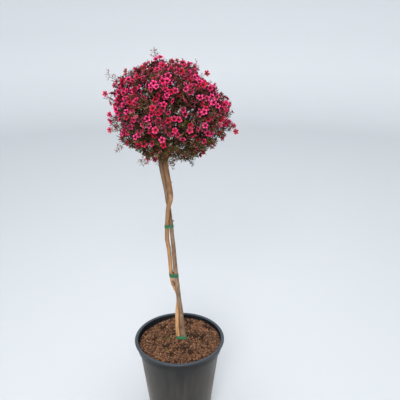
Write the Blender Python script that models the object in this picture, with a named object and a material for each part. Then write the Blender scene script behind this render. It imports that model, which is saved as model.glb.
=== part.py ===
"""Tea tree in flower, grown as a standard in a nursery pot.

Metres, +Z up, +X to the viewer's right, +Y away from the viewer. The origin is the centre of
the pot's flat underside. Two stems wind round each other from the compost up into a round
crown. Boughs leave the stems there, and each bough carries one mass of twigs, leaves and
blossom that keeps to its own share of the crown.
"""

import math
import random

import bmesh
import bpy
from mathutils import Vector

FULL_TURN = 2.0 * math.pi
GOLDEN_ANGLE = math.pi * (3.0 - math.sqrt(5.0))
CLEARANCE = 0.0003

# Pot: a turned plastic shell with a stepped collar, a rolled rim and holes in its floor
POT_HEIGHT = 0.240
POT_STEPS = 32
POT_WALL = 0.002
POT_FLOOR = 0.003
FOOT_RADIUS = 0.0875
FOOT_CHAMFER = 0.003
STEP_HEIGHT = 0.2085
STEP_RISE = 0.004
STEP_RADIUS = 0.1140
COLLAR_RADIUS = 0.1195
RIM_RADIUS = 0.128
RIM_DEPTH = 0.0065
RIM_ROUNDING = 0.0022
RIM_LIP = 0.0014
RIM_INNER_RADIUS = 0.1200
RIM_INNER_DRAFT = 0.0010
RIM_EDGE_DROP = 0.0004
RIM_HOOK = 0.0028
RIM_HOOK_RISE = 0.0020
RIM_DRAFT = 0.0008
HOLE_COUNT = 8
HOLE_RADIUS = 0.006
HOLE_CIRCLE = 0.066

# Compost: it fills the pot, level where the stems stand and a little lumpy elsewhere
SOIL_LEVEL = 0.222
SOIL_RINGS = 3
SOIL_LUMP = 0.0022
SOIL_FALL = 0.0015
LEVEL_PATCH = 0.042
SOIL_SEED = 5

# Line that the two stems wind round: height and x; its y falls evenly from foot to top
PAIR_LINE = (
    (0.2223, 0.0036),
    (0.262, -0.0004),
    (0.345, -0.0012),
    (0.368, -0.0032),
    (0.414, -0.0129),
    (0.510, -0.0199),
    (0.545, -0.0234),
    (0.640, -0.0250),
    (0.668, -0.0241),
    (0.740, -0.0345),
    (0.780, -0.0385),
    (0.860, -0.0370),
)
PAIR_FOOT_Y = 0.020
PAIR_TOP_Y = 0.001
# How the stems stand on that line: height, turn of the grey stem in degrees, gap between barks
PAIR_TWIST = (
    (0.2223, 0.0, 0.0009),
    (0.290, 0.0, 0.0009),
    (0.325, -50.0, 0.0010),
    (0.357, -80.0, 0.0011),
    (0.390, -50.0, 0.0010),
    (0.408, -4.0, 0.0014),
    (0.450, 0.0, 0.0020),
    (0.500, 0.0, 0.0018),
    (0.540, 0.0, 0.0042),
    (0.572, 5.0, 0.0018),
    (0.600, 41.0, 0.0010),
    (0.636, 90.0, 0.0011),
    (0.663, 162.0, 0.0010),
    (0.684, 178.0, 0.0009),
    (0.745, 180.0, 0.0010),
    (0.785, 182.0, 0.0012),
    (0.808, 185.0, 0.0030),
    (0.860, 192.0, 0.0200),
)
# Each stem: height and radius, from the flare at the compost to the fork in the crown
STEM_TAPER = {
    "tan": (
        (0.2223, 0.0064),
        (0.242, 0.0055),
        (0.300, 0.0051),
        (0.450, 0.0050),
        (0.570, 0.0054),
        (0.610, 0.0052),
        (0.672, 0.0063),
        (0.760, 0.0060),
        (0.850, 0.0040),
    ),
    "grey": (
        (0.2223, 0.0088),
        (0.240, 0.0079),
        (0.266, 0.0069),
        (0.310, 0.0063),
        (0.420, 0.0061),
        (0.500, 0.0057),
        (0.600, 0.0048),
        (0.680, 0.0044),
        (0.750, 0.0052),
        (0.835, 0.0034),
    ),
}
STEM_SIDE = {"tan": -1.0, "grey": 1.0}
STEM_SIDES = 8
STEM_RING_GAP = 0.015

# Tape ties round both stems: middle height and width of each band
TIES = {"tie_base": (0.2315, 0.016), "tie_lower": (0.428, 0.012), "tie_upper": (0.577, 0.010)}
TIE_THICKNESS = 0.0012
TIE_CLEARANCE = 0.0006
TIE_STEPS = 18
TIE_LEVELS = 2

# Crown: a slightly flattened ball, with places where it swells out or falls back. Each has its
# azimuth from +X towards +Y, its elevation and its width in degrees, and the change of reach.
CROWN_CENTRE = Vector((-0.012, 0.001, 0.8915))
CROWN_REACH = Vector((0.1500, 0.1500, 0.1290))
CROWN_SWELLS = (
    (0.0, 42.0, 24.0, -0.12),
    (35.0, 42.0, 24.0, -0.07),
    (-35.0, 42.0, 24.0, -0.07),
    (0.0, 8.0, 12.0, 0.02),
    (0.0, -17.0, 10.0, 0.07),
    (0.0, -47.0, 16.0, -0.05),
    (180.0, 84.0, 15.0, 0.06),
    (180.0, 38.0, 15.0, 0.08),
    (180.0, 19.0, 9.0, 0.08),
    (180.0, 5.0, 8.0, -0.06),
    (180.0, -14.0, 10.0, 0.07),
    (180.0, -44.0, 12.0, -0.04),
    (-90.0, 22.0, 12.0, -0.08),
    (-95.0, -28.0, 22.0, -0.09),
    (-130.0, 5.0, 18.0, 0.04),
    (-50.0, -2.0, 18.0, 0.04),
    (90.0, 30.0, 24.0, 0.03),
    (70.0, -20.0, 18.0, -0.05),
    (125.0, -5.0, 20.0, 0.04),
)
# Shoots that stand out of it: the tip, and whether it ends in a blossom
SHOOTS = (
    ((-0.050, -0.010, 1.040), False),
    ((-0.166, 0.010, 0.980), False),
    ((-0.168, -0.020, 0.936), True),
    ((-0.166, -0.030, 0.850), True),
    ((-0.148, -0.010, 0.797), False),
    ((0.144, -0.020, 0.848), True),
    ((0.070, -0.030, 0.986), True),
    ((0.048, -0.020, 1.004), False),
    ((-0.014, -0.050, 0.765), False),
    ((-0.086, -0.020, 0.765), False),
    ((0.038, -0.030, 0.770), False),
    ((0.020, 0.158, 0.905), True),
    ((-0.040, -0.157, 0.880), True),
    ((-0.070, 0.130, 0.975), False),
)
SHOOT_ROOM = 0.016
SHOOT_LEAF_SHARE = 0.40

# Masses: their middles spread over the crown by the golden angle
MASS_COUNT = 13
MASS_TOP = 0.92
MASS_BOTTOM = -0.72
MASS_MIDDLE = 0.66
SPACE_GAP = 0.0012
OUTLINE_SLACK = 1.08

# Boughs: from the stems' sides and tips to where their mass begins
BOUGH_LOWEST = 0.772
BOUGH_HIGHEST = 0.835
BOUGH_END = 0.40
BOUGH_ROOT_RADIUS = 0.0034
BOUGH_TIP_RADIUS = 0.0021
BOUGH_SIDES = 5
BOUGH_RINGS = 5
LEAD = 0.003
LEAD_PULL = 0.4

# Cores: the dense middle of each mass, which the twigs stand out of
CORE_INNER_DEPTH = 0.46
CORE_OUTER_DEPTH = 0.85
CORE_WALL_GAP = 0.0020
CORE_LIMB_GAP = 0.0030
CORE_REACH = 0.065
CORE_STEP = 0.002
CORE_LUMP = 0.78
CORE_DRAW_IN = 0.94
CORE_ROUNDS = 24
CORE_FACE_STEPS = 4

# Twigs: one for each tip, grown from the nearest wood that is already there
GROWTH_SEED = 41
TIP_COUNT = 86
TIP_TOP = 0.99
TIP_BOTTOM = -0.97
TIP_DEPTH = 0.94
TIP_JITTER = 0.005
MASS_STEM_DEPTH = 0.81
MASS_STEM_RADIUS = 0.0019
MASS_STEM_TIP_RADIUS = 0.00096
MASS_STEM_RINGS = 4
TWIG_ROOT_RADIUS = 0.0013
TWIG_TIP_RADIUS = 0.0008
TWIG_SIDES = 3
LONG_TWIG = 0.035
SHORTEST_TWIG = 0.008
TWIG_TRIES = 4
TWIG_STRAY = 0.35
TWIG_AIM = 0.6
TWIG_PULL = 0.3
LIMB_CLEARANCE = 0.0015
PATH_STEP = 0.005

# Leaves and blossom, larger than life because there are fewer of them
LEAF_LENGTH = 0.034
LEAF_VARIATION = (0.8, 1.15)
LEAF_WIDTH = 0.34
LEAF_THICKNESS = 0.05
LEAF_BELLY = 0.42
LEAF_SPACING = 0.014
LEAF_SPREAD = 1.1
LEAVES_FROM_DEPTH = 0.72
CORE_LEAF_DEPTH = 0.74
CORE_LEAF_LEAN = 0.8
CORE_LEAF_ROOT = 0.004
CORE_LEAF_SPREAD = 0.3
TUFT_LEAVES = 2
TUFT_BACK = 0.05
TUFT_SPREAD = 0.5
LEAF_ROOM = 0.0080
BLOSSOM_ROOM = 0.0080
BLOSSOM_RADIUS = 0.0140
BLOSSOM_NOTCH = 0.0070
BLOSSOM_SHOULDER = 0.30
BLOSSOM_DISH = 0.0022
BLOSSOM_EYE = 0.0009
BLOSSOM_BASE = 0.0034
PETALS = 5
BARE_BELOW = -0.35
BARE_SHARE = 0.35

COLOURS = {
    "pot": ((0.072, 0.070, 0.068), 0.55),
    "soil": ((0.120, 0.062, 0.036), 0.95),
    "tan": ((0.420, 0.225, 0.110), 0.80),
    "grey": ((0.290, 0.190, 0.125), 0.85),
    "tie": ((0.045, 0.155, 0.075), 0.45),
    "twig": ((0.150, 0.085, 0.050), 0.85),
    "leaf": ((0.085, 0.062, 0.030), 0.60),
    "blossom": ((0.720, 0.030, 0.130), 0.55),
}


# Shared helpers

def material(name):
    """The named colour as a Principled material, made once."""
    if name in bpy.data.materials:
        return bpy.data.materials[name]
    colour, roughness = COLOURS[name]
    made = bpy.data.materials.new(name)
    made.use_nodes = True
    surface = made.node_tree.nodes["Principled BSDF"]
    surface.inputs["Base Color"].default_value = (*colour, 1.0)
    surface.inputs["Roughness"].default_value = roughness
    surface.inputs["Metallic"].default_value = 0.0
    return made


def finish(name, bm, colour, smooth_angle=None):
    """Turn a bmesh into a named object with its material."""
    mesh = bpy.data.meshes.new(name)
    bm.to_mesh(mesh)
    bm.free()
    mesh.materials.append(material(colour))
    if smooth_angle is not None:
        mesh.shade_smooth()
        mesh.set_sharp_from_angle(angle=math.radians(smooth_angle))
    made = bpy.data.objects.new(name, mesh)
    bpy.context.scene.collection.objects.link(made)
    return made


def station(stations, height):
    """Values of a list of (height, value, ...) rows at one height, on a smooth curve."""
    last = len(stations) - 1
    index = 0
    while index < last - 1 and height > stations[index + 1][0]:
        index += 1
    before = stations[max(index - 1, 0)]
    low = stations[index]
    high = stations[index + 1]
    after = stations[min(index + 2, last)]
    span = high[0] - low[0]
    t = min(max((height - low[0]) / span, 0.0), 1.0)
    values = []
    for a, b, c, d in zip(before[1:], low[1:], high[1:], after[1:]):
        slope_low = (c - a) / (high[0] - before[0]) * span
        slope_high = (d - b) / (after[0] - low[0]) * span
        values.append(b + t * slope_low + t * t * (3.0 * (c - b) - 2.0 * slope_low - slope_high)
                      + t ** 3 * (slope_low + slope_high - 2.0 * (c - b)))
    return values


def bend(start, middle, end, count):
    """Points of a curve that leaves start towards middle and arrives at end."""
    points = []
    for step in range(count):
        t = step / (count - 1)
        points.append(start * (1 - t) ** 2 + middle * (2 * t * (1 - t)) + end * t * t)
    return points


def sprung(start, way, end, count):
    """Points of a curve whose first stretch leaves start squarely, then bends to end."""
    lead = start + way * LEAD
    return [start] + bend(lead, lead + way * (end - start).length * LEAD_PULL, end, count - 1)


def directions(points):
    """The way a path runs at each of its points."""
    ways = []
    last = len(points) - 1
    for index in range(len(points)):
        ways.append((points[min(index + 1, last)] - points[max(index - 1, 0)]).normalized())
    return ways


def square_to(way, hint):
    """A unit vector square to a direction, on the side of a hint."""
    side = hint - way * hint.dot(way)
    if side.length < 1e-4:
        side = way.orthogonal()
    return side.normalized()


def limb(points, radii, sides):
    """A closed tapering tube along a path, with flat ends, as a bmesh."""
    bm = bmesh.new()
    ways = directions(points)
    across = square_to(ways[0], Vector((1.0, 0.0, 0.0)))
    rings = []
    for point, radius, way in zip(points, radii, ways):
        across = square_to(way, across)
        beside = way.cross(across)
        ring = []
        for side in range(sides):
            angle = FULL_TURN * side / sides
            offset = across * math.cos(angle) + beside * math.sin(angle)
            ring.append(bm.verts.new(point + offset * radius))
        rings.append(ring)
    for low, high in zip(rings, rings[1:]):
        for side in range(sides):
            after = (side + 1) % sides
            bm.faces.new((low[side], low[after], high[after], high[side]))
    bm.faces.new(list(reversed(rings[0])))
    bm.faces.new(rings[-1])
    return bm


def turned(profile, steps):
    """Spin a profile of (radius, height) points round the Z axis into a closed body."""
    bm = bmesh.new()
    verts = [bm.verts.new((radius, 0.0, height)) for radius, height in profile]
    edges = [bm.edges.new(pair) for pair in zip(verts, verts[1:])]
    bmesh.ops.spin(bm, geom=verts + edges, cent=(0, 0, 0), axis=(0, 0, 1), dvec=(0, 0, 0),
                   angle=FULL_TURN, steps=steps, use_merge=False, use_duplicate=False)
    bmesh.ops.remove_doubles(bm, verts=bm.verts, dist=1e-5)
    bmesh.ops.recalc_face_normals(bm, faces=bm.faces)
    return bm


# Pot and compost

def inner_wall():
    """The pot's inside, from the middle of its floor to the rim, as (radius, height)."""
    return [
        (0.0, POT_FLOOR),
        (FOOT_RADIUS - POT_WALL, POT_FLOOR),
        (STEP_RADIUS - POT_WALL, STEP_HEIGHT),
        (COLLAR_RADIUS - POT_WALL, STEP_HEIGHT + STEP_RISE),
        (RIM_INNER_RADIUS - RIM_INNER_DRAFT, POT_HEIGHT - RIM_ROUNDING),
    ]


def outer_wall():
    """The pot's outside, from the rolled rim down to the middle of its underside."""
    rim_low = POT_HEIGHT - RIM_DEPTH
    points = [
        (RIM_INNER_RADIUS, POT_HEIGHT - RIM_EDGE_DROP),
        (RIM_INNER_RADIUS + RIM_LIP, POT_HEIGHT),
    ]
    for degrees in (90.0, 45.0, 0.0):
        angle = math.radians(degrees)
        points.append((RIM_RADIUS - RIM_ROUNDING * (1.0 - math.cos(angle)),
                       POT_HEIGHT - RIM_ROUNDING * (1.0 - math.sin(angle))))
    points += [
        (RIM_RADIUS - RIM_DRAFT, rim_low),
        (RIM_RADIUS - RIM_DRAFT - RIM_HOOK, rim_low),
        (COLLAR_RADIUS + RIM_HOOK / 2.0, rim_low + RIM_HOOK_RISE),
        (COLLAR_RADIUS, STEP_HEIGHT + STEP_RISE),
        (STEP_RADIUS, STEP_HEIGHT),
        (FOOT_RADIUS, FOOT_CHAMFER),
        (FOOT_RADIUS - FOOT_CHAMFER, 0.0),
        (0.0, 0.0),
    ]
    return points


def make_pot():
    """The pot, with drain holes cut through its floor."""
    pot = finish("pot", turned(inner_wall() + outer_wall(), POT_STEPS), "pot", 35.0)
    drill = bmesh.new()
    for hole in range(HOLE_COUNT):
        angle = FULL_TURN * (hole + 0.5) / HOLE_COUNT
        made = bmesh.ops.create_cone(drill, cap_ends=True, segments=8, radius1=HOLE_RADIUS,
                                     radius2=HOLE_RADIUS, depth=4.0 * POT_FLOOR)
        centre = (HOLE_CIRCLE * math.cos(angle), HOLE_CIRCLE * math.sin(angle), POT_FLOOR / 2.0)
        bmesh.ops.translate(drill, verts=made["verts"], vec=centre)
    cutter = finish("drain_hole_cutter", drill, "pot")
    cutter.hide_render = True
    cutter.display_type = "WIRE"
    holes = pot.modifiers.new("drain holes", "BOOLEAN")
    holes.operation = "DIFFERENCE"
    holes.object = cutter


def inset(profile, gap):
    """A profile moved inwards by a gap, square to each of its edges."""
    moved = [(0.0, profile[0][1] + gap)]
    for before, here, after in zip(profile, profile[1:], profile[2:]):
        into = Vector((here[0] - before[0], here[1] - before[1])).normalized()
        out = Vector((after[0] - here[0], after[1] - here[1])).normalized()
        mean = (into + out).normalized()
        push = gap / mean.dot(into)
        moved.append((here[0] - mean.y * push, here[1] + mean.x * push))
    return moved


def make_soil():
    """The compost, up to its level inside the collar, with a lumpy top."""
    wall = inset(inner_wall(), CLEARANCE)
    edge = COLLAR_RADIUS - POT_WALL - CLEARANCE
    rings = []
    for ring in range(SOIL_RINGS + 1):
        share = 1.0 - ring / (SOIL_RINGS + 1)
        rings.append((edge * share, SOIL_LEVEL))
    bm = turned(wall + rings + [(0.0, SOIL_LEVEL)], POT_STEPS)
    rng = random.Random(SOIL_SEED)
    foot = Vector((PAIR_LINE[0][1], PAIR_FOOT_Y))
    top = [vert for vert in bm.verts if vert.co.z > SOIL_LEVEL - 1e-5]
    for vert in sorted(top, key=lambda item: (round(item.co.x, 5), round(item.co.y, 5))):
        lump = rng.uniform(-1.0, 1.0) * SOIL_LUMP
        outward = vert.co.xy.length / edge
        if (vert.co.xy - foot).length > LEVEL_PATCH:
            vert.co.z += lump - SOIL_FALL * outward
    finish("soil", bm, "soil", 60.0)


# Stems and ties

def stem_point(name, height):
    """The middle of a stem at one height."""
    x = station(PAIR_LINE, height)[0]
    low, high = PAIR_LINE[0][0], PAIR_LINE[-1][0]
    y = PAIR_FOOT_Y + (PAIR_TOP_Y - PAIR_FOOT_Y) * (height - low) / (high - low)
    turn, gap = station(PAIR_TWIST, height)
    spacing = stem_radius("tan", height) + stem_radius("grey", height) + gap
    offset = spacing / 2.0 * STEM_SIDE[name]
    angle = math.radians(turn)
    return Vector((x + offset * math.cos(angle), y + offset * math.sin(angle), height))


def stem_radius(name, height):
    """The radius of a stem at one height."""
    return station(STEM_TAPER[name], height)[0]


def stem_heights(name):
    """The heights at which a stem has a ring, the same for both, from its foot to its tip."""
    low = STEM_TAPER[name][0][0]
    high = STEM_TAPER[name][-1][0]
    count = int((high - low) / STEM_RING_GAP - 0.5)
    return [low + STEM_RING_GAP * step for step in range(count + 1)] + [high]


def make_stem(name):
    """One stem, from its flat cut on the compost to its tip. Returns its path and radii."""
    heights = stem_heights(name)
    points = [stem_point(name, height) for height in heights]
    radii = [stem_radius(name, height) for height in heights]
    bm = limb(points, radii, STEM_SIDES)
    bm.verts.ensure_lookup_table()
    for vert in bm.verts[:STEM_SIDES]:
        vert.co.z = heights[0]
    finish("stem_" + name, bm, name, 50.0)
    return points, radii


def loop_round_stems(height, margin):
    """Points of a taut loop round both stems at one height."""
    points = []
    for step in range(TIE_STEPS):
        angle = FULL_TURN * step / TIE_STEPS
        out = Vector((math.cos(angle), math.sin(angle), 0.0))
        touches = []
        for name in STEM_SIDE:
            touch = stem_point(name, height) + out * (stem_radius(name, height) + margin)
            touches.append(touch)
        points.append(max(touches, key=out.dot))
    return points


def make_tie(name):
    """One band of tape, a closed ring that follows both stems."""
    middle, width = TIES[name]
    bm = bmesh.new()
    loops = []
    for step in range(TIE_LEVELS):
        height = middle + width * (step / (TIE_LEVELS - 1) - 0.5)
        loops.append(loop_round_stems(height, TIE_CLEARANCE + TIE_THICKNESS))
    for step in reversed(range(TIE_LEVELS)):
        height = middle + width * (step / (TIE_LEVELS - 1) - 0.5)
        loops.append(loop_round_stems(height, TIE_CLEARANCE))
    rings = [[bm.verts.new(point) for point in loop] for loop in loops]
    for low, high in zip(rings, rings[1:] + rings[:1]):
        for step in range(TIE_STEPS):
            after = (step + 1) % TIE_STEPS
            bm.faces.new((low[step], low[after], high[after], high[step]))
    finish(name, bm, "tie", 40.0)


# Crown: its outline and each mass's share of it

def towards(azimuth, elevation):
    """A unit vector from its azimuth and elevation in degrees."""
    around, up = math.radians(azimuth), math.radians(elevation)
    return Vector((math.cos(around) * math.cos(up), math.sin(around) * math.cos(up), math.sin(up)))


SWELL_WAYS = [towards(azimuth, elevation) for azimuth, elevation, width, change in CROWN_SWELLS]


def outline(way):
    """How far the crown reaches in one direction, as a share of its plain ball."""
    reach = 1.0
    for middle, (azimuth, elevation, width, change) in zip(SWELL_WAYS, CROWN_SWELLS):
        reach += change * math.exp(-(math.degrees(way.angle(middle)) / width) ** 2)
    return reach


def crown_point(way, depth):
    """The point at a share of the crown's reach in one direction."""
    reach = Vector((way.x * CROWN_REACH.x, way.y * CROWN_REACH.y, way.z * CROWN_REACH.z))
    return CROWN_CENTRE + reach * (outline(way) * depth)


def spread(index, count, top, bottom):
    """One of count directions spread evenly between two heights of the unit ball."""
    height = top + (bottom - top) * index / (count - 1)
    flat = math.sqrt(1.0 - height * height)
    angle = GOLDEN_ANGLE * index
    return Vector((flat * math.cos(angle), flat * math.sin(angle), height))


def mass_way(index):
    """The direction of a mass from the crown's centre."""
    return spread(index, MASS_COUNT, MASS_TOP, MASS_BOTTOM)


MASS_MIDDLES = [crown_point(mass_way(index), MASS_MIDDLE) for index in range(MASS_COUNT)]


def owner_of(point):
    """The mass whose middle is nearest to a point."""
    return min(range(MASS_COUNT), key=lambda index: (MASS_MIDDLES[index] - point).length)


def walls_of(owner):
    """The flat walls between a mass and its neighbours: a point on each, and the way out."""
    here = MASS_MIDDLES[owner]
    others = MASS_MIDDLES[:owner] + MASS_MIDDLES[owner + 1:]
    return [((here + other) / 2.0, (other - here).normalized()) for other in others]


WALLS = [walls_of(index) for index in range(MASS_COUNT)]


def in_space(point, owner):
    """True where a point lies in a mass's own share, a gap away from every neighbour's."""
    return all((point - middle).dot(out) < -SPACE_GAP / 2.0 for middle, out in WALLS[owner])


def settled(point, owner):
    """A tip moved in from the walls of its mass, to leave room for a blossom."""
    for middle, out in WALLS[owner]:
        excess = (point - middle).dot(out) + BLOSSOM_RADIUS + SPACE_GAP
        if excess > 0.0:
            point = point - out * excess
    return point


def depth_of(point):
    """How far out a point lies, as a share of the crown's reach in its direction."""
    offset = point - CROWN_CENTRE
    scaled = Vector((offset.x / CROWN_REACH.x, offset.y / CROWN_REACH.y, offset.z / CROWN_REACH.z))
    return scaled.length / outline(scaled.normalized())


def in_outline(point):
    """True where a point lies within the crown's outline, or close to a shoot's tip."""
    if depth_of(point) < OUTLINE_SLACK:
        return True
    return any((point - Vector(tip)).length < SHOOT_ROOM for tip, flowers in SHOOTS)


def distance_to_path(point, path):
    """The shortest distance from a point to a path's straight stretches, and how far along."""
    best = (1e9, 0.0)
    for index, (low, high) in enumerate(zip(path, path[1:])):
        run = high - low
        t = min(max((point - low).dot(run) / run.length_squared, 0.0), 1.0)
        best = min(best, ((point - low - run * t).length, index + t))
    return best


def clear_of_limbs(point, limbs, gap):
    """True where a point stays off every stem and bough by a gap."""
    for path, radii in limbs:
        distance, along = distance_to_path(point, path)
        if distance < max(radii[int(along)], radii[-1]) + gap:
            return False
    return True


def close_points(path):
    """Points a short step apart along a path, without its start."""
    points = []
    for low, high in zip(path, path[1:]):
        count = math.ceil((high - low).length / PATH_STEP)
        points += [low.lerp(high, (step + 1) / count) for step in range(count)]
    return points


def points_on_face(corners):
    """Points spread evenly over a three-cornered face."""
    points = []
    for first in range(CORE_FACE_STEPS + 1):
        for second in range(CORE_FACE_STEPS + 1 - first):
            a = first / CORE_FACE_STEPS
            b = second / CORE_FACE_STEPS
            points.append(corners[0] * a + corners[1] * b + corners[2] * (1.0 - a - b))
    return points


# Boughs

def bough_order():
    """Masses from the lowest to the highest, the order their boughs leave the stems in."""
    return sorted(range(MASS_COUNT), key=lambda index: MASS_MIDDLES[index].z)


def bough_path(index, place):
    """The path of one bough: out of the side of a stem, or on from a stem's tip."""
    end = crown_point(mass_way(index), BOUGH_END)
    side_boughs = MASS_COUNT - len(STEM_SIDE)
    if place >= side_boughs:
        name = list(STEM_SIDE)[place - side_boughs]
        top = STEM_TAPER[name][-1][0]
        way = directions([stem_point(name, height) for height in stem_heights(name)])[-1]
        start = stem_point(name, top) + way * CLEARANCE
        return sprung(start, way, end, BOUGH_RINGS)
    height = BOUGH_LOWEST + (BOUGH_HIGHEST - BOUGH_LOWEST) * place / (side_boughs - 1)
    middle = (stem_point("tan", height) + stem_point("grey", height)) / 2.0
    name = max(STEM_SIDE, key=lambda item: (stem_point(item, height) - middle).dot(end - middle))
    foot = stem_point(name, height)
    flat = Vector((end.x - foot.x, end.y - foot.y, 0.0)).normalized()
    start = foot + flat * (stem_radius(name, height) + CLEARANCE * 2.0)
    return sprung(start, flat, end, BOUGH_RINGS)


def make_boughs():
    """Every bough. Returns its path and radii by mass."""
    boughs = {}
    for place, index in enumerate(bough_order()):
        points = bough_path(index, place)
        radii = []
        for ring in range(BOUGH_RINGS):
            share = ring / (BOUGH_RINGS - 1)
            radii.append(BOUGH_ROOT_RADIUS + (BOUGH_TIP_RADIUS - BOUGH_ROOT_RADIUS) * share)
        finish("bough_%02d" % (index + 1), limb(points, radii, BOUGH_SIDES), "grey", 50.0)
        boughs[index] = (points, radii)
    return boughs


# Masses of twigs, leaves and blossom

def crown_tips(rng):
    """Every tip that a twig reaches for, shared out among the masses.

    A tip is a point, the share of a full leaf's length that its leaves have, and whether a
    blossom may open there.
    """
    tips = {index: [] for index in range(MASS_COUNT)}
    for index in range(TIP_COUNT):
        jitter = Vector([rng.uniform(-TIP_JITTER, TIP_JITTER) for axis in range(3)])
        way = spread(index, TIP_COUNT, TIP_TOP, TIP_BOTTOM)
        point = crown_point(way, TIP_DEPTH) + jitter
        flowers = way.z > BARE_BELOW or rng.random() < BARE_SHARE
        owner = owner_of(point)
        tips[owner].append((settled(point, owner), 1.0, flowers))
    for place, flowers in SHOOTS:
        tip = Vector(place)
        tips[owner_of(tip)].append((tip, SHOOT_LEAF_SHARE, flowers))
    return tips


class Mass:
    """One mass: the wood that is already grown, and the loose pieces that will be joined."""

    def __init__(self, index, bough, limbs, rng):
        self.index = index
        self.rng = rng
        self.limbs = limbs
        self.wood = []
        self.taken = []
        self.knobs = []
        self.pieces = []
        points, radii = bough
        way = directions(points)[-1]
        start = points[-1] + way * CLEARANCE
        end = crown_point(mass_way(index), MASS_STEM_DEPTH)
        path = sprung(start, way, end, MASS_STEM_RINGS)
        self.base = start
        self.add_wood(path, MASS_STEM_RADIUS, MASS_STEM_TIP_RADIUS)
        self.add_core()
        self.dress_twig(path, 1.0, True)

    def fits(self, points):
        """True where every point is in the mass's own share and clear of the limbs."""
        return all(in_space(point, self.index) and in_outline(point)
                   and clear_of_limbs(point, self.limbs, LIMB_CLEARANCE) for point in points)

    def core_fits(self, point):
        """True where the core may reach: off the mass's walls, the outline and the limbs."""
        return (all((point - middle).dot(out) < -CORE_WALL_GAP for middle, out in WALLS[self.index])
                and CORE_INNER_DEPTH < depth_of(point) < CORE_OUTER_DEPTH
                and clear_of_limbs(point, self.limbs, CORE_LIMB_GAP))

    def add_core(self):
        """The dense middle of the mass: a ball that swells until something stops it."""
        bm = bmesh.new()
        bmesh.ops.create_icosphere(bm, subdivisions=2, radius=1.0)
        middle = MASS_MIDDLES[self.index]
        for vert in bm.verts:
            way = vert.co.normalized()
            reach = CORE_STEP
            while reach < CORE_REACH and self.core_fits(middle + way * (reach + CORE_STEP)):
                reach += CORE_STEP
            vert.co = middle + way * (reach * self.rng.uniform(CORE_LUMP, 1.0))
        self.draw_core_in(bm, middle)
        for vert in bm.verts:
            if depth_of(vert.co) > CORE_LEAF_DEPTH:
                self.knobs.append(vert.co.copy())
        self.add_piece(bm, "leaf")

    def draw_core_in(self, bm, middle):
        """Draw in every face that closes over a limb, until none does."""
        for turn in range(CORE_ROUNDS):
            corners = set()
            for face in bm.faces:
                points = points_on_face([vert.co for vert in face.verts])
                if not all(clear_of_limbs(point, self.limbs, CORE_LIMB_GAP) for point in points):
                    corners.update(face.verts)
            if not corners:
                return
            for vert in corners:
                vert.co = middle.lerp(vert.co, CORE_DRAW_IN)

    def claim(self, middle, radius):
        """True where a leaf or blossom has room round its middle, which is then taken."""
        for other, other_radius in self.taken:
            if (middle - other).length < radius + other_radius:
                return False
        self.taken.append((middle, radius))
        return True

    def add_piece(self, bm, colour):
        """Keep one loose closed piece for the join."""
        name = "mass_%02d_piece_%03d" % (self.index + 1, len(self.pieces))
        self.pieces.append(finish(name, bm, colour))

    def add_wood(self, path, root_radius, tip_radius):
        """Grow one twig and note where others can start on it."""
        radii = []
        for step in range(len(path)):
            radii.append(root_radius + (tip_radius - root_radius) * step / (len(path) - 1))
        self.add_piece(limb(path, radii, TWIG_SIDES), "twig")
        for point, way in list(zip(path, directions(path)))[1:]:
            self.wood.append((point, way))

    def reach(self, tip, leaf_share, flowers):
        """Grow a twig from the nearest wood to a tip, and dress it."""
        def cost(place):
            point, way = place
            run = tip - point
            return run.length * (1.0 + TWIG_STRAY * (1.0 - run.normalized().dot(way)))
        for point, way in sorted(self.wood, key=cost)[:TWIG_TRIES]:
            run = tip - point
            if run.length < SHORTEST_TWIG:
                continue
            count = 3 if run.length > LONG_TWIG else 2
            aim = way + run.normalized() * TWIG_AIM
            path = bend(point, point + aim * run.length * TWIG_PULL, tip, count)
            if self.fits(close_points(path)):
                self.add_wood(path, TWIG_ROOT_RADIUS, TWIG_TIP_RADIUS)
                self.dress_twig(path, leaf_share, flowers)
                return

    def dress_core(self):
        """Leaves that stand out of the core's knobs, between the blossoms."""
        for knob in self.knobs:
            outward = (knob - CROWN_CENTRE).normalized()
            lean = Vector([self.rng.uniform(-1.0, 1.0) for axis in range(3)]) * CORE_LEAF_LEAN
            root = knob - (knob - MASS_MIDDLES[self.index]).normalized() * CORE_LEAF_ROOT
            turn = self.rng.uniform(0.0, FULL_TURN)
            self.add_leaf(root, (outward + lean).normalized(), turn, CORE_LEAF_SPREAD, 1.0)

    def dress_twig(self, path, leaf_share, flowers):
        """Put a blossom or a tuft on a twig's tip, and leaves along it where it shows."""
        ways = directions(path)
        outward = (path[-1] - CROWN_CENTRE).normalized()
        opens = flowers and self.add_blossom(path[-1], (ways[-1] + outward).normalized())
        turn = self.rng.uniform(0.0, FULL_TURN)
        if not opens:
            root = path[-1].lerp(path[-2], TUFT_BACK)
            for step in range(TUFT_LEAVES):
                angle = turn + FULL_TURN * step / TUFT_LEAVES
                self.add_leaf(root, ways[-1], angle, TUFT_SPREAD, leaf_share)
        length = (path[-1] - path[-2]).length
        for step in range(int(length / LEAF_SPACING)):
            root = path[-1].lerp(path[-2], (step + 0.5) * LEAF_SPACING / length)
            if depth_of(root) > LEAVES_FROM_DEPTH:
                angle = turn + GOLDEN_ANGLE * (step + 1)
                self.add_leaf(root, ways[-1], angle, LEAF_SPREAD, leaf_share)

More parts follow.
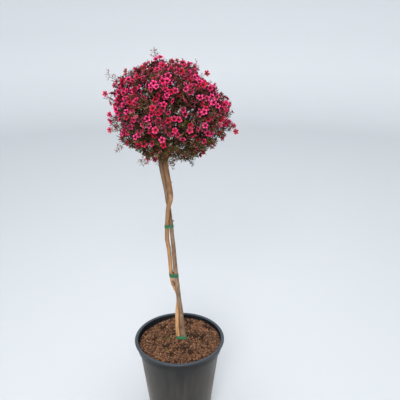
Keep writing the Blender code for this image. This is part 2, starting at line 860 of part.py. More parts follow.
    def add_leaf(self, root, way, turn, spread_out, share):
        """One leaf, rooted on the middle of its twig, if it fits."""
        side = square_to(way, Vector((0.3, 0.2, 1.0)))
        side = side * math.cos(turn) + way.cross(side) * math.sin(turn)
        length = LEAF_LENGTH * share * self.rng.uniform(*LEAF_VARIATION)
        along = (way + side * spread_out).normalized()
        broad = along.cross(side).normalized() * (length * LEAF_WIDTH / 2.0)
        thick = along.cross(broad).normalized() * (length * LEAF_THICKNESS / 2.0)
        belly = root + along * (length * LEAF_BELLY)
        corners = [belly + broad, belly + thick, belly - broad, belly - thick]
        tip = root + along * length
        outer_edges = [corner.lerp(tip, 0.5) for corner in corners]
        if not self.fits(corners + outer_edges + [belly, tip]):
            return
        if not self.claim(belly, LEAF_ROOM * share):
            return
        bm = bmesh.new()
        ends = [bm.verts.new(root), bm.verts.new(tip)]
        ring = [bm.verts.new(corner) for corner in corners]
        for step in range(4):
            after = ring[(step + 1) % 4]
            bm.faces.new((ends[0], ring[step], after))
            bm.faces.new((ends[1], after, ring[step]))
        bmesh.ops.recalc_face_normals(bm, faces=bm.faces)
        self.add_piece(bm, "leaf")

    def add_blossom(self, tip, facing):
        """One five-petalled blossom on a twig's tip, if it fits. Returns whether it does."""
        across = square_to(facing, Vector((self.rng.uniform(-1, 1), self.rng.uniform(-1, 1), 0.3)))
        beside = facing.cross(across)
        rim = []
        for petal in range(PETALS):
            for shift, radius in ((0.0, BLOSSOM_NOTCH), (0.5 - BLOSSOM_SHOULDER / 2, BLOSSOM_RADIUS),
                                  (0.5 + BLOSSOM_SHOULDER / 2, BLOSSOM_RADIUS)):
                angle = FULL_TURN * (petal + shift) / PETALS
                out = across * math.cos(angle) + beside * math.sin(angle)
                lift = BLOSSOM_DISH * radius / BLOSSOM_RADIUS
                rim.append(tip + out * radius + facing * lift)
        if not self.fits(rim) or not self.claim(tip, BLOSSOM_ROOM):
            return False
        bm = bmesh.new()
        face = bm.verts.new(tip + facing * BLOSSOM_EYE)
        base = bm.verts.new(tip - facing * BLOSSOM_BASE)
        ring = [bm.verts.new(point) for point in rim]
        for here, after in zip(ring, ring[1:] + ring[:1]):
            bm.faces.new((face, here, after))
            bm.faces.new((base, after, here))
        self.add_piece(bm, "blossom")
        return True

    def join(self):
        """Join the loose pieces into one closed body with one union."""
        body = self.pieces[0]
        body.name = "foliage_%02d" % (self.index + 1)
        body.data.name = body.name
        others = bpy.data.collections.new("pieces_to_join")
        bpy.context.scene.collection.children.link(others)
        for piece in self.pieces[1:]:
            others.objects.link(piece)
            bpy.context.scene.collection.objects.unlink(piece)
        union = body.modifiers.new("union", "BOOLEAN")
        union.operation = "UNION"
        union.operand_type = "COLLECTION"
        union.collection = others
        union.solver = "MANIFOLD"
        union.material_mode = "TRANSFER"
        bpy.context.view_layer.objects.active = body
        bpy.ops.object.modifier_apply(modifier=union.name)
        for piece in self.pieces[1:]:
            bpy.data.objects.remove(piece, do_unlink=True)
        bpy.data.collections.remove(others)
        keep_largest_shell(body.data)


def keep_largest_shell(mesh):
    """Delete loose scraps and the walls of sealed hollows, leaving one closed skin."""
    bm = bmesh.new()
    bm.from_mesh(mesh)
    unseen = set(bm.faces)
    shells = []
    while unseen:
        front = [unseen.pop()]
        shell = []
        while front:
            face = front.pop()
            shell.append(face)
            for edge in face.edges:
                for other in edge.link_faces:
                    if other in unseen:
                        unseen.remove(other)
                        front.append(other)
        shells.append(shell)
    shells.sort(key=len)
    for shell in shells[:-1]:
        bmesh.ops.delete(bm, geom=shell, context="FACES")
    bm.to_mesh(mesh)
    bm.free()


def make_masses(boughs, limbs):
    """Grow and join every mass."""
    rng = random.Random(GROWTH_SEED)
    tips = crown_tips(rng)
    for index in range(MASS_COUNT):
        mass = Mass(index, boughs[index], limbs, rng)
        nearest_first = sorted(tips[index], key=lambda row: (row[0] - mass.base).length)
        for tip, leaf_share, flowers in nearest_first:
            mass.reach(tip, leaf_share, flowers)
        mass.dress_core()
        mass.join()


def build():
    """Clear the scene and make the whole plant in its pot."""
    for item in list(bpy.data.objects):
        bpy.data.objects.remove(item, do_unlink=True)
    make_pot()
    make_soil()
    limbs = [make_stem(name) for name in STEM_SIDE]
    for name in TIES:
        make_tie(name)
    boughs = make_boughs()
    limbs += list(boughs.values())
    make_masses(boughs, limbs)


build()
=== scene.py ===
"""Looks of a tea tree standard in flower: bark, compost, pot, tape, leaves and blossom."""

import math
import random

import bpy
import numpy as np
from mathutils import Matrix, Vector


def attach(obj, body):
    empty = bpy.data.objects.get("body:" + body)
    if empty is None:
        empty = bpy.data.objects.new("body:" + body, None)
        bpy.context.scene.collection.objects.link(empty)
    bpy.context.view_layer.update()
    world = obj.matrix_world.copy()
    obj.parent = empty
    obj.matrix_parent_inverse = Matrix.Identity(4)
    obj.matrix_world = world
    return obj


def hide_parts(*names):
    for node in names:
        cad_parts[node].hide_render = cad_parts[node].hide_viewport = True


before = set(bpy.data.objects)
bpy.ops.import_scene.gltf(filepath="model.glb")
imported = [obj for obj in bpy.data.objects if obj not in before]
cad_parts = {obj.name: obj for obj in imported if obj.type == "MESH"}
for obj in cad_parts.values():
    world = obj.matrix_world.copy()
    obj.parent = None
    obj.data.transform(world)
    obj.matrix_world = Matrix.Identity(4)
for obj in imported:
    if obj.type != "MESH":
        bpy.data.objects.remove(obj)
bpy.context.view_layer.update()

FULL_TURN = 2.0 * math.pi
GOLDEN_ANGLE = math.pi * (3.0 - math.sqrt(5.0))
GROWTH_SEED = 2024
LEAF_SEED = 77

# Camera: the height and place that the photo was taken from, aimed a little down
CAMERA_PLACE = (0.0441, -1.2678, 1.1124)
CAMERA_PITCH = 17.5
CAMERA_TURN = -0.66
CAMERA_LENS = 46.0
CAMERA_SHIFT = -0.05

# Pot, from its underside to its rim
POT_HEIGHT = 0.240
POT_WALL = 0.002
POT_FLOOR = 0.003
POT_SEGMENTS = 112
FOOT_RADIUS = 0.0875
FOOT_CHAMFER = 0.003
STEP_HEIGHT = 0.2085
STEP_RISE = 0.004
STEP_RADIUS = 0.1140
COLLAR_RADIUS = 0.1195
RIM_RADIUS = 0.128
RIM_DEPTH = 0.0053
RIM_ROUNDING = 0.0026
RIM_INNER_RADIUS = 0.1182
HOLE_COUNT = 8
HOLE_RADIUS = 0.006
HOLE_CIRCLE = 0.066
# Small roundings: of the step under the collar, of the rim's underside (radius, height above it)
# and of its inner lip (radius past the rim's inner edge, height from the rim's top)
STEP_ROUNDING = (0.0002, 0.0006)
RIM_UNDERSIDE = (
    (COLLAR_RADIUS + 0.0010, 0.0014),
    (COLLAR_RADIUS + 0.0016, 0.0020),
    (RIM_RADIUS - 0.0034, 0.0018),
    (RIM_RADIUS - 0.0030, 0.0004),
    (RIM_RADIUS - 0.0014, 0.0),
)
RIM_TOP_TURN = (-25.0, 90.0)
RIM_TOP_STEPS = 7
INNER_LIP = ((0.0024, -0.0003), (0.0007, -0.0012), (-0.0003, -0.0034))

# Compost, with chips of bark, grit and a little moss on it
SOIL_LEVEL = 0.222
SOIL_GAP = 0.0004
SOIL_SEGMENTS = 220
SOIL_RINGS = 64
SOIL_LUMPS = ((0.026, 0.0050), (0.010, 0.0075), (0.0045, 0.0045))
SOIL_LUMP_MIDDLE = 0.55
SOIL_BACK_RISE = 0.0080
SOIL_BACK_WAY = (0.6, 0.8)
SOIL_BACK_ROOM = (0.022, 0.082)
SOIL_FLAT_ROOM = (0.010, 0.022)
HOLLOW_DEPTH = 0.0065
HOLLOWS = (
    (0.050, 0.030, 0.013), (0.066, 0.020, 0.012), (0.012, -0.020, 0.013), (0.036, -0.040, 0.014),
    (-0.040, -0.010, 0.010), (-0.022, -0.050, 0.011), (-0.078, 0.020, 0.011), (-0.014, 0.046, 0.008),
    (0.082, 0.066, 0.012), (-0.050, 0.078, 0.010), (0.030, 0.090, 0.010), (-0.010, -0.095, 0.012),
)
CHIP_COUNT = 3900
CHIP_REACH = 0.975
CHIP_LENGTH = (0.0022, 0.0056)
CHIP_FINENESS = 2.3
CHIP_BREADTH = (0.8, 1.5)
CHIP_FATNESS = 1.3
CHIP_DEPTH = 0.9
CHIP_LIFT = (-0.0016, 0.0006)
CHIP_TILT = 0.45
CLOD_COUNT = 330
CLOD_LENGTH = (0.0060, 0.0092)
GRIT_COUNT = 75
GRIT_LENGTH = (0.0009, 0.0016)
GRIT_FATNESS = 2.0
STEM_ROOM = 0.014
MOSS_PATCHES = ((-0.0340, 0.0180, 0.005), (-0.0587, 0.0115, 0.005), (-0.0360, -0.0370, 0.004))
MOSS_TUFTS = 34
MOSS_SPREAD = (0.6, 0.45)
MOSS_LENGTH = (0.0012, 0.0026)
MOSS_FATNESS = 1.6
MOSS_LIFT = 0.0009
# Flakes that catch the eye: x, y and colour
BRIGHT_CHIPS = ((-0.0260, -0.0400, 6), (-0.0470, -0.0380, 6), (0.0819, 0.0522, 7))
# Their size, fatness and lift
BRIGHT_CHIP = (0.0050, 0.8, 0.0014)

# Line that the two stems wind round: height and x; its y falls evenly from foot to top
PAIR_LINE = (
    (0.2223, 0.0036), (0.262, -0.0004), (0.345, -0.0012), (0.368, -0.0032), (0.414, -0.0129),
    (0.510, -0.0199), (0.545, -0.0234), (0.640, -0.0250), (0.668, -0.0241), (0.740, -0.0345),
    (0.780, -0.0385), (0.860, -0.0370),
)
PAIR_FOOT_Y = 0.020
PAIR_TOP_Y = 0.001
# How the stems stand on that line: height, turn of the grey stem in degrees, gap between barks
PAIR_TWIST = (
    (0.2223, 0.0, 0.0009), (0.290, 0.0, 0.0009), (0.325, -50.0, 0.0010), (0.357, -80.0, 0.0011),
    (0.390, -50.0, 0.0010), (0.408, -4.0, 0.0014), (0.450, 0.0, 0.0020), (0.500, 0.0, 0.0018),
    (0.540, 0.0, 0.0042), (0.572, 5.0, 0.0018), (0.600, 41.0, 0.0010), (0.636, 90.0, 0.0011),
    (0.663, 162.0, 0.0010), (0.684, 178.0, 0.0009), (0.745, 180.0, 0.0010), (0.785, 182.0, 0.0012),
    (0.808, 185.0, 0.0030), (0.860, 192.0, 0.0200),
)
# Each stem: height and radius, from the flare at the compost to the fork in the crown
STEM_TAPER = {
    "tan": (
        (0.2223, 0.0064), (0.242, 0.0055), (0.300, 0.0051), (0.450, 0.0050), (0.570, 0.0054),
        (0.610, 0.0052), (0.672, 0.0063), (0.760, 0.0060), (0.850, 0.0040),
    ),
    "grey": (
        (0.2223, 0.0088), (0.240, 0.0079), (0.266, 0.0069), (0.310, 0.0063), (0.420, 0.0061),
        (0.500, 0.0057), (0.600, 0.0048), (0.680, 0.0044), (0.750, 0.0052), (0.835, 0.0034),
    ),
}
STEM_SIDE = {"tan": -1.0, "grey": 1.0}
STEM_RINGS = 280
BARK_SWELL = 0.0003
BARK_RELIEF = 0.0008
BARK_RIDGES = ((0.0034, 1.0), (0.0014, 0.5))
BARK_STRETCH = 7.0
MARK_STRETCH = (1.0, 1.0, 0.7)
# Knots, and patches of painted shade on the grey stem where it lies behind the tan one: stem,
# height, turn from the right, size, lift, darkness
KNOTS_AND_SHADE = (
    ("tan", 0.677, -75.0, 0.0050, 0.0011, 0.7),
    ("tan", 0.704, -100.0, 0.0035, 0.0006, 0.5),
    ("tan", 0.735, -60.0, 0.0040, 0.0007, 0.4),
    ("tan", 0.541, -120.0, 0.0040, 0.0006, 0.4),
    ("tan", 0.517, -30.0, 0.0026, 0.0008, 1.0),
    ("tan", 0.412, -75.0, 0.0034, 0.0010, 1.0),
    ("tan", 0.404, -60.0, 0.0028, 0.0008, 0.9),
    ("tan", 0.443, -35.0, 0.0030, 0.0008, 1.0),
    ("tan", 0.352, -150.0, 0.0040, 0.0006, 0.5),
    ("tan", 0.470, 90.0, 0.0040, 0.0008, 0.6),
    ("tan", 0.620, 110.0, 0.0040, 0.0008, 0.6),
    ("grey", 0.590, -10.0, 0.0034, 0.0010, 1.0),
    # Painted shade, not knots: the grey stem where it lies in shadow behind the tan stem
    ("grey", 0.612, -60.0, 0.0170, 0.0000, 0.8),
    ("grey", 0.628, -40.0, 0.0120, 0.0000, 0.7),
    ("grey", 0.488, -60.0, 0.0040, 0.0006, 0.5),
    ("grey", 0.372, -80.0, 0.0050, 0.0006, 0.4),
    ("grey", 0.262, -110.0, 0.0045, 0.0007, 0.7),
    ("grey", 0.335, 80.0, 0.0045, 0.0008, 0.6),
    ("grey", 0.715, 100.0, 0.0040, 0.0008, 0.6),
)
# Pale scars: stem, height, turn, size
SCARS = (
    ("tan", 0.671, -95.0, 0.0040),
    ("tan", 0.660, -60.0, 0.0030),
    ("grey", 0.3037, -85.0, 0.0026),
    ("tan", 0.300, -90.0, 0.0040),
)
# Stubs of pruned side shoots: stem, height, turn, length
STUBS = (
    ("grey", 0.5935, 0.0, 0.0036),
    ("tan", 0.4465, -25.0, 0.0028),
    ("tan", 0.7050, -20.0, 0.0030),
    ("grey", 0.5200, 120.0, 0.0034),
    ("tan", 0.3800, 170.0, 0.0030),
)
STUB_RADII = (0.0019, 0.0015, 0.0012)
STUB_RISE = 0.45
STUB_ROOT = 0.7

# Tape ties: middle height, width, and how loosely the band stands off
TIES = {
    "tie_base": (0.2288, 0.0105, 0.0004),
    "tie_lower": (0.431, 0.012, 0.0),
    "tie_upper": (0.580, 0.010, 0.0),
}
TIE_CLEARANCE = 0.0005
TIE_THICKNESS = 0.0007
TIE_STEPS = 72
TIE_ROWS = 7
TIE_FULLNESS = 0.96
TIE_CREASE = 0.00025
TIE_CREASE_TURNS = (5.0, 9.0)
TIE_SLANT = 0.0006

# Crown: a slightly flattened ball, with places where it swells out or falls back, each with its
# azimuth, elevation, width and change
CROWN_CENTRE = np.array((-0.012, 0.001, 0.8915))
CROWN_REACH = np.array((0.1500, 0.1500, 0.1290))
CROWN_SWELLS = (
    (0.0, 42.0, 24.0, -0.12), (35.0, 42.0, 24.0, -0.07), (-35.0, 42.0, 24.0, -0.07),
    (0.0, 8.0, 12.0, 0.02), (0.0, -17.0, 10.0, 0.07), (0.0, -47.0, 16.0, -0.05),
    (180.0, 84.0, 15.0, 0.06), (180.0, 38.0, 15.0, 0.08), (180.0, 19.0, 9.0, 0.08),
    (180.0, 5.0, 8.0, -0.06), (180.0, -14.0, 10.0, 0.07), (180.0, -44.0, 12.0, -0.04),
    (-90.0, 22.0, 12.0, -0.08), (-95.0, -28.0, 22.0, -0.09), (-130.0, 5.0, 18.0, 0.04),
    (-50.0, -2.0, 18.0, 0.04), (90.0, 30.0, 24.0, 0.03), (70.0, -20.0, 18.0, -0.05),
    (125.0, -5.0, 20.0, 0.04),
)
# Its clipped edge: where leaves and blossom fall short of that outline, and its small clumps
# (their count, width, change and seed), and how far single sprays stray from it
EDGE_TRIMS = ((0.0, 52.0, 15.0, -0.045), (0.0, 4.0, 9.0, -0.025), (180.0, 82.0, 12.0, 0.035))
EDGE_CLUMPS = (190, 8.0, (-0.075, 0.050), 11)
SPRAY_STRAY = 0.035
ALL_ROUND = (0.995, -0.995)
# Shoots that stand out of it: the tip, and whether it ends in a blossom
SHOOTS = (
    ((-0.050, -0.010, 1.040), False),
    ((-0.166, 0.010, 0.980), False),
    ((-0.168, -0.020, 0.936), True),
    ((-0.161, -0.018, 0.886), True),
    ((-0.158, -0.030, 0.856), True),
    ((-0.148, -0.010, 0.797), False),
    ((0.144, -0.020, 0.848), True),
    ((0.070, -0.030, 0.986), True),
    ((0.048, -0.020, 1.004), False),
    ((-0.014, -0.050, 0.765), False),
    ((-0.086, -0.020, 0.765), False),
    ((0.038, -0.030, 0.770), False),
    ((0.020, 0.158, 0.905), True),
    ((-0.040, -0.157, 0.880), True),
    ((-0.070, 0.130, 0.975), False),
)
SHOOT_TIPS = np.array([tip for tip, flowers in SHOOTS])
# Gaps through the crown: x and height of each at the crown's middle, and its radius
GAPS = (
    (0.0395, 0.8967, 0.0042), (0.0300, 0.8930, 0.0030), (-0.0097, 0.9139, 0.0034),
    (0.0070, 0.8620, 0.0024), (-0.0160, 0.8080, 0.0026), (-0.1450, 0.8650, 0.0050),
    (0.0880, 0.8280, 0.0040), (-0.0850, 0.9500, 0.0030),
)

# Masses and the boughs that carry them
MASS_COUNT = 13
MASS_TOP = 0.92
MASS_BOTTOM = -0.72
MASS_MIDDLE = 0.66
MASS_STEM_DEPTH = 0.81
BOUGH_LOWEST = 0.772
BOUGH_HIGHEST = 0.835
BOUGH_END = 0.40
BOUGH_RINGS = 12
BOUGH_ROOT_RADIUS = 0.0034
BOUGH_TIP_RADIUS = 0.0021
BOUGH_FLARE = 1.25
BOUGH_ROOT_DEPTH = 0.6
BOUGH_RELIEF = 0.6
MASS_STEM_RINGS = 7
MASS_STEM_TIP = 0.0009
LEAD = 0.003
LEAD_PULL = 0.4
CLEARANCE = 0.0003

# Twigs: depth in the crown, number and jitter of the tips in each shell
TIP_SHELLS = ((0.93, 640, 0.006), (0.80, 400, 0.010), (0.64, 220, 0.012), (0.44, 110, 0.012))
SHELL_ENDS = (0.99, -0.96)
TWIG_RADII = (0.0008, 0.0004)
TWIG_RINGS = 5
TWIG_SHORTEST = 0.004
TWIG_STRAY = 0.35
TWIG_AIM = 0.6
TWIG_PULL = 0.3
# A direction that no limb runs along, to turn the limbs' sides from
HINT = np.array((0.31, 0.17, 0.93))

# Fine side shoots, leaves, blossom and buds
SHOOT_SPACING = 0.0047
SHOOT_OFFSET = 0.6
SHOOT_LENGTH = (0.009, 0.020)
SHOOT_RADII = (0.00040, 0.00018)
SHOOT_REACH = 1.02
SHOOT_FORWARD = 0.75
SHOOT_UPWARD = 0.18
SHOOT_END_SHARE = 0.5
LONG_SHOOT_ROOM = 0.020
LONG_SHOOT_DEPTH = 0.97
LONG_SHOOT_SHARE = 0.75
LEAF_SPACING = 0.0017
LEAF_OFFSET = 0.7
LEAF_TURN = 1.7
LEAVES_AT_LEAST = 3
LEAF_LENGTH = (0.0055, 0.0100)
LEAF_SHARE = 0.27
LEAF_FORWARD = 0.75
LEAF_OUTWARD = (1.15, 0.6)
LEAF_SWAY = 0.14
LEAF_ROLL = 0.3
LEAF_BELLY = 0.45
LEAF_FOLD = 0.175
LEAF_TIP_RISE = 0.06
# Leaves low in the crown are longer: heights of its lower part, and how much longer
LOW_LEAVES = (0.860, 0.790, 1.22)
LEAVES_PER_PIECE = 45000
BLOSSOM_COUNT = 720
BLOSSOM_ROOM = 0.0080
BLOSSOM_STRAY = 0.12
BLOSSOM_OUTWARD = 0.8
BLOSSOM_ALONG = 0.5
BLOSSOM_TILT = 0.7
# Blossoms that hang at the crown's lower edge, all near these places
LOW_BLOSSOMS = (
    (-0.069, -0.035, 0.788), (-0.060, -0.035, 0.778), (-0.026, -0.045, 0.785),
    (0.050, -0.035, 0.790), (0.082, -0.040, 0.816), (0.066, -0.040, 0.800),
)
BLOSSOM_RADIUS = (0.0063, 0.0083)
BLOSSOM_DEPTH = 0.76
# How likely shoots flower: in general, more towards the top, and less below the crown's middle.
# There it is barest at one place (its x, width and change), and bare towards either side and
# more so towards the right. Then come the limits of both factors, the places that flower more or
# less (as the crown's swells) and the clusters (as its clumps).
BLOOM_BASE = 0.66
BLOOM_RISE = 0.08
BLOOM_BARE = (0.05, 0.40, 1.25)
BLOOM_BARE_SIDE = (0.95, 0.10)
BLOOM_LIMITS = (0.06, 1.0)
BLOOM_SHARE_LIMITS = (0.05, 1.6)
BLOOM_SWELLS = (
    (-84.0, 16.0, 10.0, -0.4), (-38.0, 8.0, 16.0, -0.35), (-125.0, -28.0, 18.0, -0.6),
    (-140.0, 5.0, 20.0, 0.7), (-100.0, -8.0, 14.0, 0.5), (60.0, 30.0, 14.0, -0.4),
)
BLOOM_CLUSTERS = (140, 9.0, (-0.75, 0.55), 80)
# How far below the crown's middle blossoms take the darker tints, as painted shade
SHADED_BLOOM_DEPTH = 0.045
BLOSSOM_FULLNESS = (0.7, 1.6)
BUD_COUNT = 420
BUD_RADIUS = (0.0011, 0.0019)


# Shared shapes

def station(stations, height):
    """Values of a list of (height, value, ...) rows at one height, on a smooth curve."""
    last = len(stations) - 1
    index = 0
    while index < last - 1 and height > stations[index + 1][0]:
        index += 1
    before = stations[max(index - 1, 0)]
    low = stations[index]
    high = stations[index + 1]
    after = stations[min(index + 2, last)]
    span = high[0] - low[0]
    t = min(max((height - low[0]) / span, 0.0), 1.0)
    values = []
    for a, b, c, d in zip(before[1:], low[1:], high[1:], after[1:]):
        slope_low = (c - a) / (high[0] - before[0]) * span
        slope_high = (d - b) / (after[0] - low[0]) * span
        values.append(b + t * slope_low + t * t * (3.0 * (c - b) - 2.0 * slope_low - slope_high)
                      + t ** 3 * (slope_low + slope_high - 2.0 * (c - b)))
    return values


def unit(vectors):
    """Vectors scaled to length one."""
    return vectors / np.maximum(np.linalg.norm(vectors, axis=-1, keepdims=True), 1e-9)


def turned(degrees):
    """The flat unit vector at an angle from the right."""
    angle = math.radians(degrees)
    return np.array((math.cos(angle), math.sin(angle), 0.0))


def around(count, offset=0.0):
    """Flat unit vectors evenly all round, the first of them some steps past the right."""
    return [turned(360.0 * (step + offset) / count) for step in range(count)]


def upward(height):
    """A step straight up."""
    return np.array((0.0, 0.0, height))


def lengths_of(vectors):
    """How long each vector is."""
    return np.linalg.norm(vectors, axis=-1)


def bend(start, middle, end, count):
    """Points of a curve that leaves start towards middle and arrives at end."""
    t = np.linspace(0.0, 1.0, count)[:, None]
    return start * (1 - t) ** 2 + middle * (2 * t * (1 - t)) + end * t * t


def sprung(start, way, end, count):
    """Points of a curve whose first stretch leaves start squarely, then bends to end."""
    lead = start + way * LEAD
    reach = np.linalg.norm(end - start) * LEAD_PULL
    return np.vstack([start, bend(lead, lead + way * reach, end, count - 1)])


def stem_radius(name, height):
    """The radius of a stem at one height."""
    return station(STEM_TAPER[name], height)[0]


def stem_point(name, height):
    """The middle of a stem at one height."""
    x = station(PAIR_LINE, height)[0]
    low, high = PAIR_LINE[0][0], PAIR_LINE[-1][0]
    y = PAIR_FOOT_Y + (PAIR_TOP_Y - PAIR_FOOT_Y) * (height - low) / (high - low)
    turn, gap = station(PAIR_TWIST, height)
    spacing = stem_radius("tan", height) + stem_radius("grey", height) + gap
    return np.array((x, y, height)) + turned(turn) * (spacing / 2.0 * STEM_SIDE[name])


def between_stems(height):
    """The point midway between the stems at one height."""
    return (stem_point("tan", height) + stem_point("grey", height)) / 2.0


# Materials

class Wire:
    """A shader socket that Python's operators work on."""

    def __init__(self, paint, socket):
        self.paint = paint
        self.socket = socket

    def work(self, operation, first, second):
        """A Math node on two numbers or wires."""
        return self.paint.node("ShaderNodeMath", {"operation": operation}, {0: first, 1: second})

    def __add__(self, other):
        return self.work("ADD", self, other)

    def __radd__(self, other):
        return self.work("ADD", other, self)

    def __mul__(self, other):
        return self.work("MULTIPLY", self, other)

    def __rmul__(self, other):
        return self.work("MULTIPLY", other, self)


class Paint:
    """One material and the nodes that feed its surface."""

    def __init__(self, name, roughness, shine):
        self.material = bpy.data.materials.new(name)
        self.material.use_nodes = True
        self.tree = self.material.node_tree
        self.surface = self.tree.nodes["Principled BSDF"]
        self.feed("Roughness", roughness)
        self.feed("Specular IOR Level", shine)

    def node(self, kind, settings, inputs, output=0):
        """Any node: its settings first, then its sockets' values or links."""
        made = self.tree.nodes.new(kind)
        for key, value in settings.items():
            if key == "stops":
                while len(made.color_ramp.elements) < len(value):
                    made.color_ramp.elements.new(0.5)
                for element, (place, colour) in zip(made.color_ramp.elements, value):
                    element.position = place
                    element.color = (*colour, 1.0)
            else:
                setattr(made, key, value)
        for key, value in inputs.items():
            self.join(made.inputs[key], value)
        return Wire(self, made.outputs[output])

    def join(self, socket, value):
        """Link a wire to a socket, or set the socket's own value."""
        if isinstance(value, Wire):
            self.tree.links.new(value.socket, socket)
        elif isinstance(value, tuple) and len(value) == 3 and socket.type == "RGBA":
            socket.default_value = (*value, 1.0)
        else:
            socket.default_value = value

    def feed(self, name, value):
        """Set or link one of the surface's sockets."""
        self.join(self.surface.inputs[name], value)

    def place(self, stretch=(1.0, 1.0, 1.0)):
        """Object coordinates, stretched along each axis."""
        spot = self.node("ShaderNodeTexCoord", {}, {}, "Object")
        return self.node("ShaderNodeMapping", {}, {"Vector": spot, "Scale": stretch})

    def marked(self, name):
        """A mark that the mesh carries on its corners, from 0 to 1."""
        return self.node("ShaderNodeAttribute", {"attribute_name": name}, {}, "Fac")

    def noise(self, place, scale, detail=4.0, roughness=0.55):
        """Cloudy noise from 0 to 1."""
        return self.node("ShaderNodeTexNoise", {}, {"Vector": place, "Scale": scale, "Detail": detail,
                                                    "Roughness": roughness}, "Fac")

    def span(self, value, low, high, to_low=0.0, to_high=1.0):
        """A value carried from one range to another, and kept within it."""
        return self.node("ShaderNodeMapRange", {"clamp": True},
                         {"Value": value, "From Min": low, "From Max": high,
                          "To Min": to_low, "To Max": to_high})

    def by_height(self, low, high, at_low=0.0, at_high=1.0):
        """A value that changes between two heights."""
        height = self.node("ShaderNodeSeparateXYZ", {}, {"Vector": self.place()}, "Z")
        return self.span(height, low, high, at_low, at_high)

    def ramp(self, share, *stops):
        """A colour that changes with a share."""
        return self.node("ShaderNodeValToRGB", {"stops": stops}, {"Fac": share}, "Color")

    def mix(self, share, first, second):
        """Two colours mixed by a share."""
        return self.node("ShaderNodeMix", {"data_type": "RGBA"},
                         {"Factor": share, 6: first, 7: second}, 2)

    def shaded(self, colour, value):
        """A colour made darker or lighter."""
        return self.node("ShaderNodeHueSaturation", {}, {"Value": value, "Color": colour}, "Color")

    def bump(self, height, strength, distance):
        """Relief from a height."""
        self.feed("Normal", self.node("ShaderNodeBump", {},
                                      {"Height": height, "Strength": strength,
                                       "Distance": distance}, "Normal"))

    def coloured(self, colour):
        """The material, now with its colour."""
        self.feed("Base Color", colour)
        return self.material


# Bark of each stem: its pale, middle and dark tones, its tint at the top, and how dark it is
# painted higher up, as painted shade
BARK_TONES = {
    "tan": ((0.560, 0.305, 0.145), (0.435, 0.224, 0.098), (0.140, 0.065, 0.030),
            (0.490, 0.250, 0.120), 0.50),
    "grey": ((0.255, 0.165, 0.104), (0.165, 0.098, 0.058), (0.056, 0.032, 0.020),
             (0.200, 0.112, 0.062), 0.95),
}
SCAR_COLOUR = (0.480, 0.330, 0.230)
# Colour of the knots and of the painted shade on the bark
KNOT_AND_SHADE_COLOUR = (0.060, 0.028, 0.018)
# Heights between which the stems' tint changes and their painted shade deepens, and between which
# the tape goes from painted light low down to painted shade higher up
TOP_TINT_HEIGHTS = (0.60, 0.80)
PAINTED_SHADE_HEIGHTS = (0.31, 0.60)
TAPE_LIGHT_AND_SHADE_HEIGHTS = (0.25, 0.40)
# Heights between which the pot's rim gives way to its wall, its rim's side to its top, which is
# painted paler as a highlight, and its wall from dark under the rim to dusty further down
POT_WALL_HEIGHTS = (0.2345, 0.2300)
POT_HIGHLIGHT_HEIGHTS = (0.2380, 0.2394)
POT_DUST_HEIGHTS = (0.2250, 0.1500)
POT_SHEEN_TINT = (1.0, 0.88, 0.74)
POT_RIM_SIDE = (0.014, 0.017, 0.022)
# The rim's top, painted paler as a highlight
POT_RIM_HIGHLIGHT = (0.034, 0.044, 0.056)
POT_WALL_BLACK = (0.0055, 0.0056, 0.0060)
POT_DUST = (0.062, 0.054, 0.045)
# The pot's inside, painted dark as shade
POT_INSIDE_SHADE_TONES = ((0.004, 0.0045, 0.006), (0.010, 0.012, 0.014))
TAPE_TONES = ((0.30, (0.026, 0.100, 0.050)), (0.70, (0.052, 0.165, 0.085)))
SOIL_TONES = ((0.38, (0.016, 0.009, 0.006)), (0.50, (0.066, 0.034, 0.021)),
              (0.64, (0.180, 0.092, 0.052)))
# Compost in its hollows, painted dark as shade
HOLLOW_SHADE_COLOUR = (0.022, 0.012, 0.008)
# The wall's colour, the floor's colour painted darker near the middle as shade, and where one fades
# to the other
WALL_COLOUR = (0.755, 0.765, 0.778)
SHADED_FLOOR_COLOUR = (0.590, 0.603, 0.618)
FLOOR_SHADE_FADE = (0.08, 0.32)


def bark_paint(name, pale, middle, dark, top_tint, painted_top_shade):
    """Fibrous bark: long streaks, worn patches, dark knots, pale scars, browner at the top, and
    painted
    shade: darker above the foot, and in patches where the grey stem lies behind the tan one.
    """
    paint = Paint(name, 0.85, 0.2)
    streaks = paint.noise(paint.place((1.0, 1.0, 0.06)), 520.0, 5.0, 0.65)
    patches = paint.noise(paint.place((1.0, 1.0, 0.45)), 70.0, 3.0)
    grain = paint.noise(paint.place((1.0, 1.0, 0.3)), 1100.0, 3.0)
    tone = streaks * 0.58 + patches * 0.32 + grain * 0.10
    colour = paint.ramp(tone, (0.36, dark), (0.45, middle), (0.55, pale), (0.66, middle))
    upper = paint.by_height(*TOP_TINT_HEIGHTS, 0.0, 0.75)
    colour = paint.mix(upper, colour, paint.mix(tone, dark, top_tint))
    # Painted shade: the bark grows darker from low on the stem upwards
    colour = paint.shaded(colour, paint.by_height(*PAINTED_SHADE_HEIGHTS, 1.0, painted_top_shade))
    colour = paint.mix(paint.marked("scar") * 0.5, colour, SCAR_COLOUR)
    # Dark knots, and patches of painted shade
    colour = paint.mix(paint.marked("knot") * 0.9, colour, KNOT_AND_SHADE_COLOUR)
    paint.bump(streaks * 0.7 + grain * 0.3, 0.6, 0.0012)
    return paint.coloured(colour)


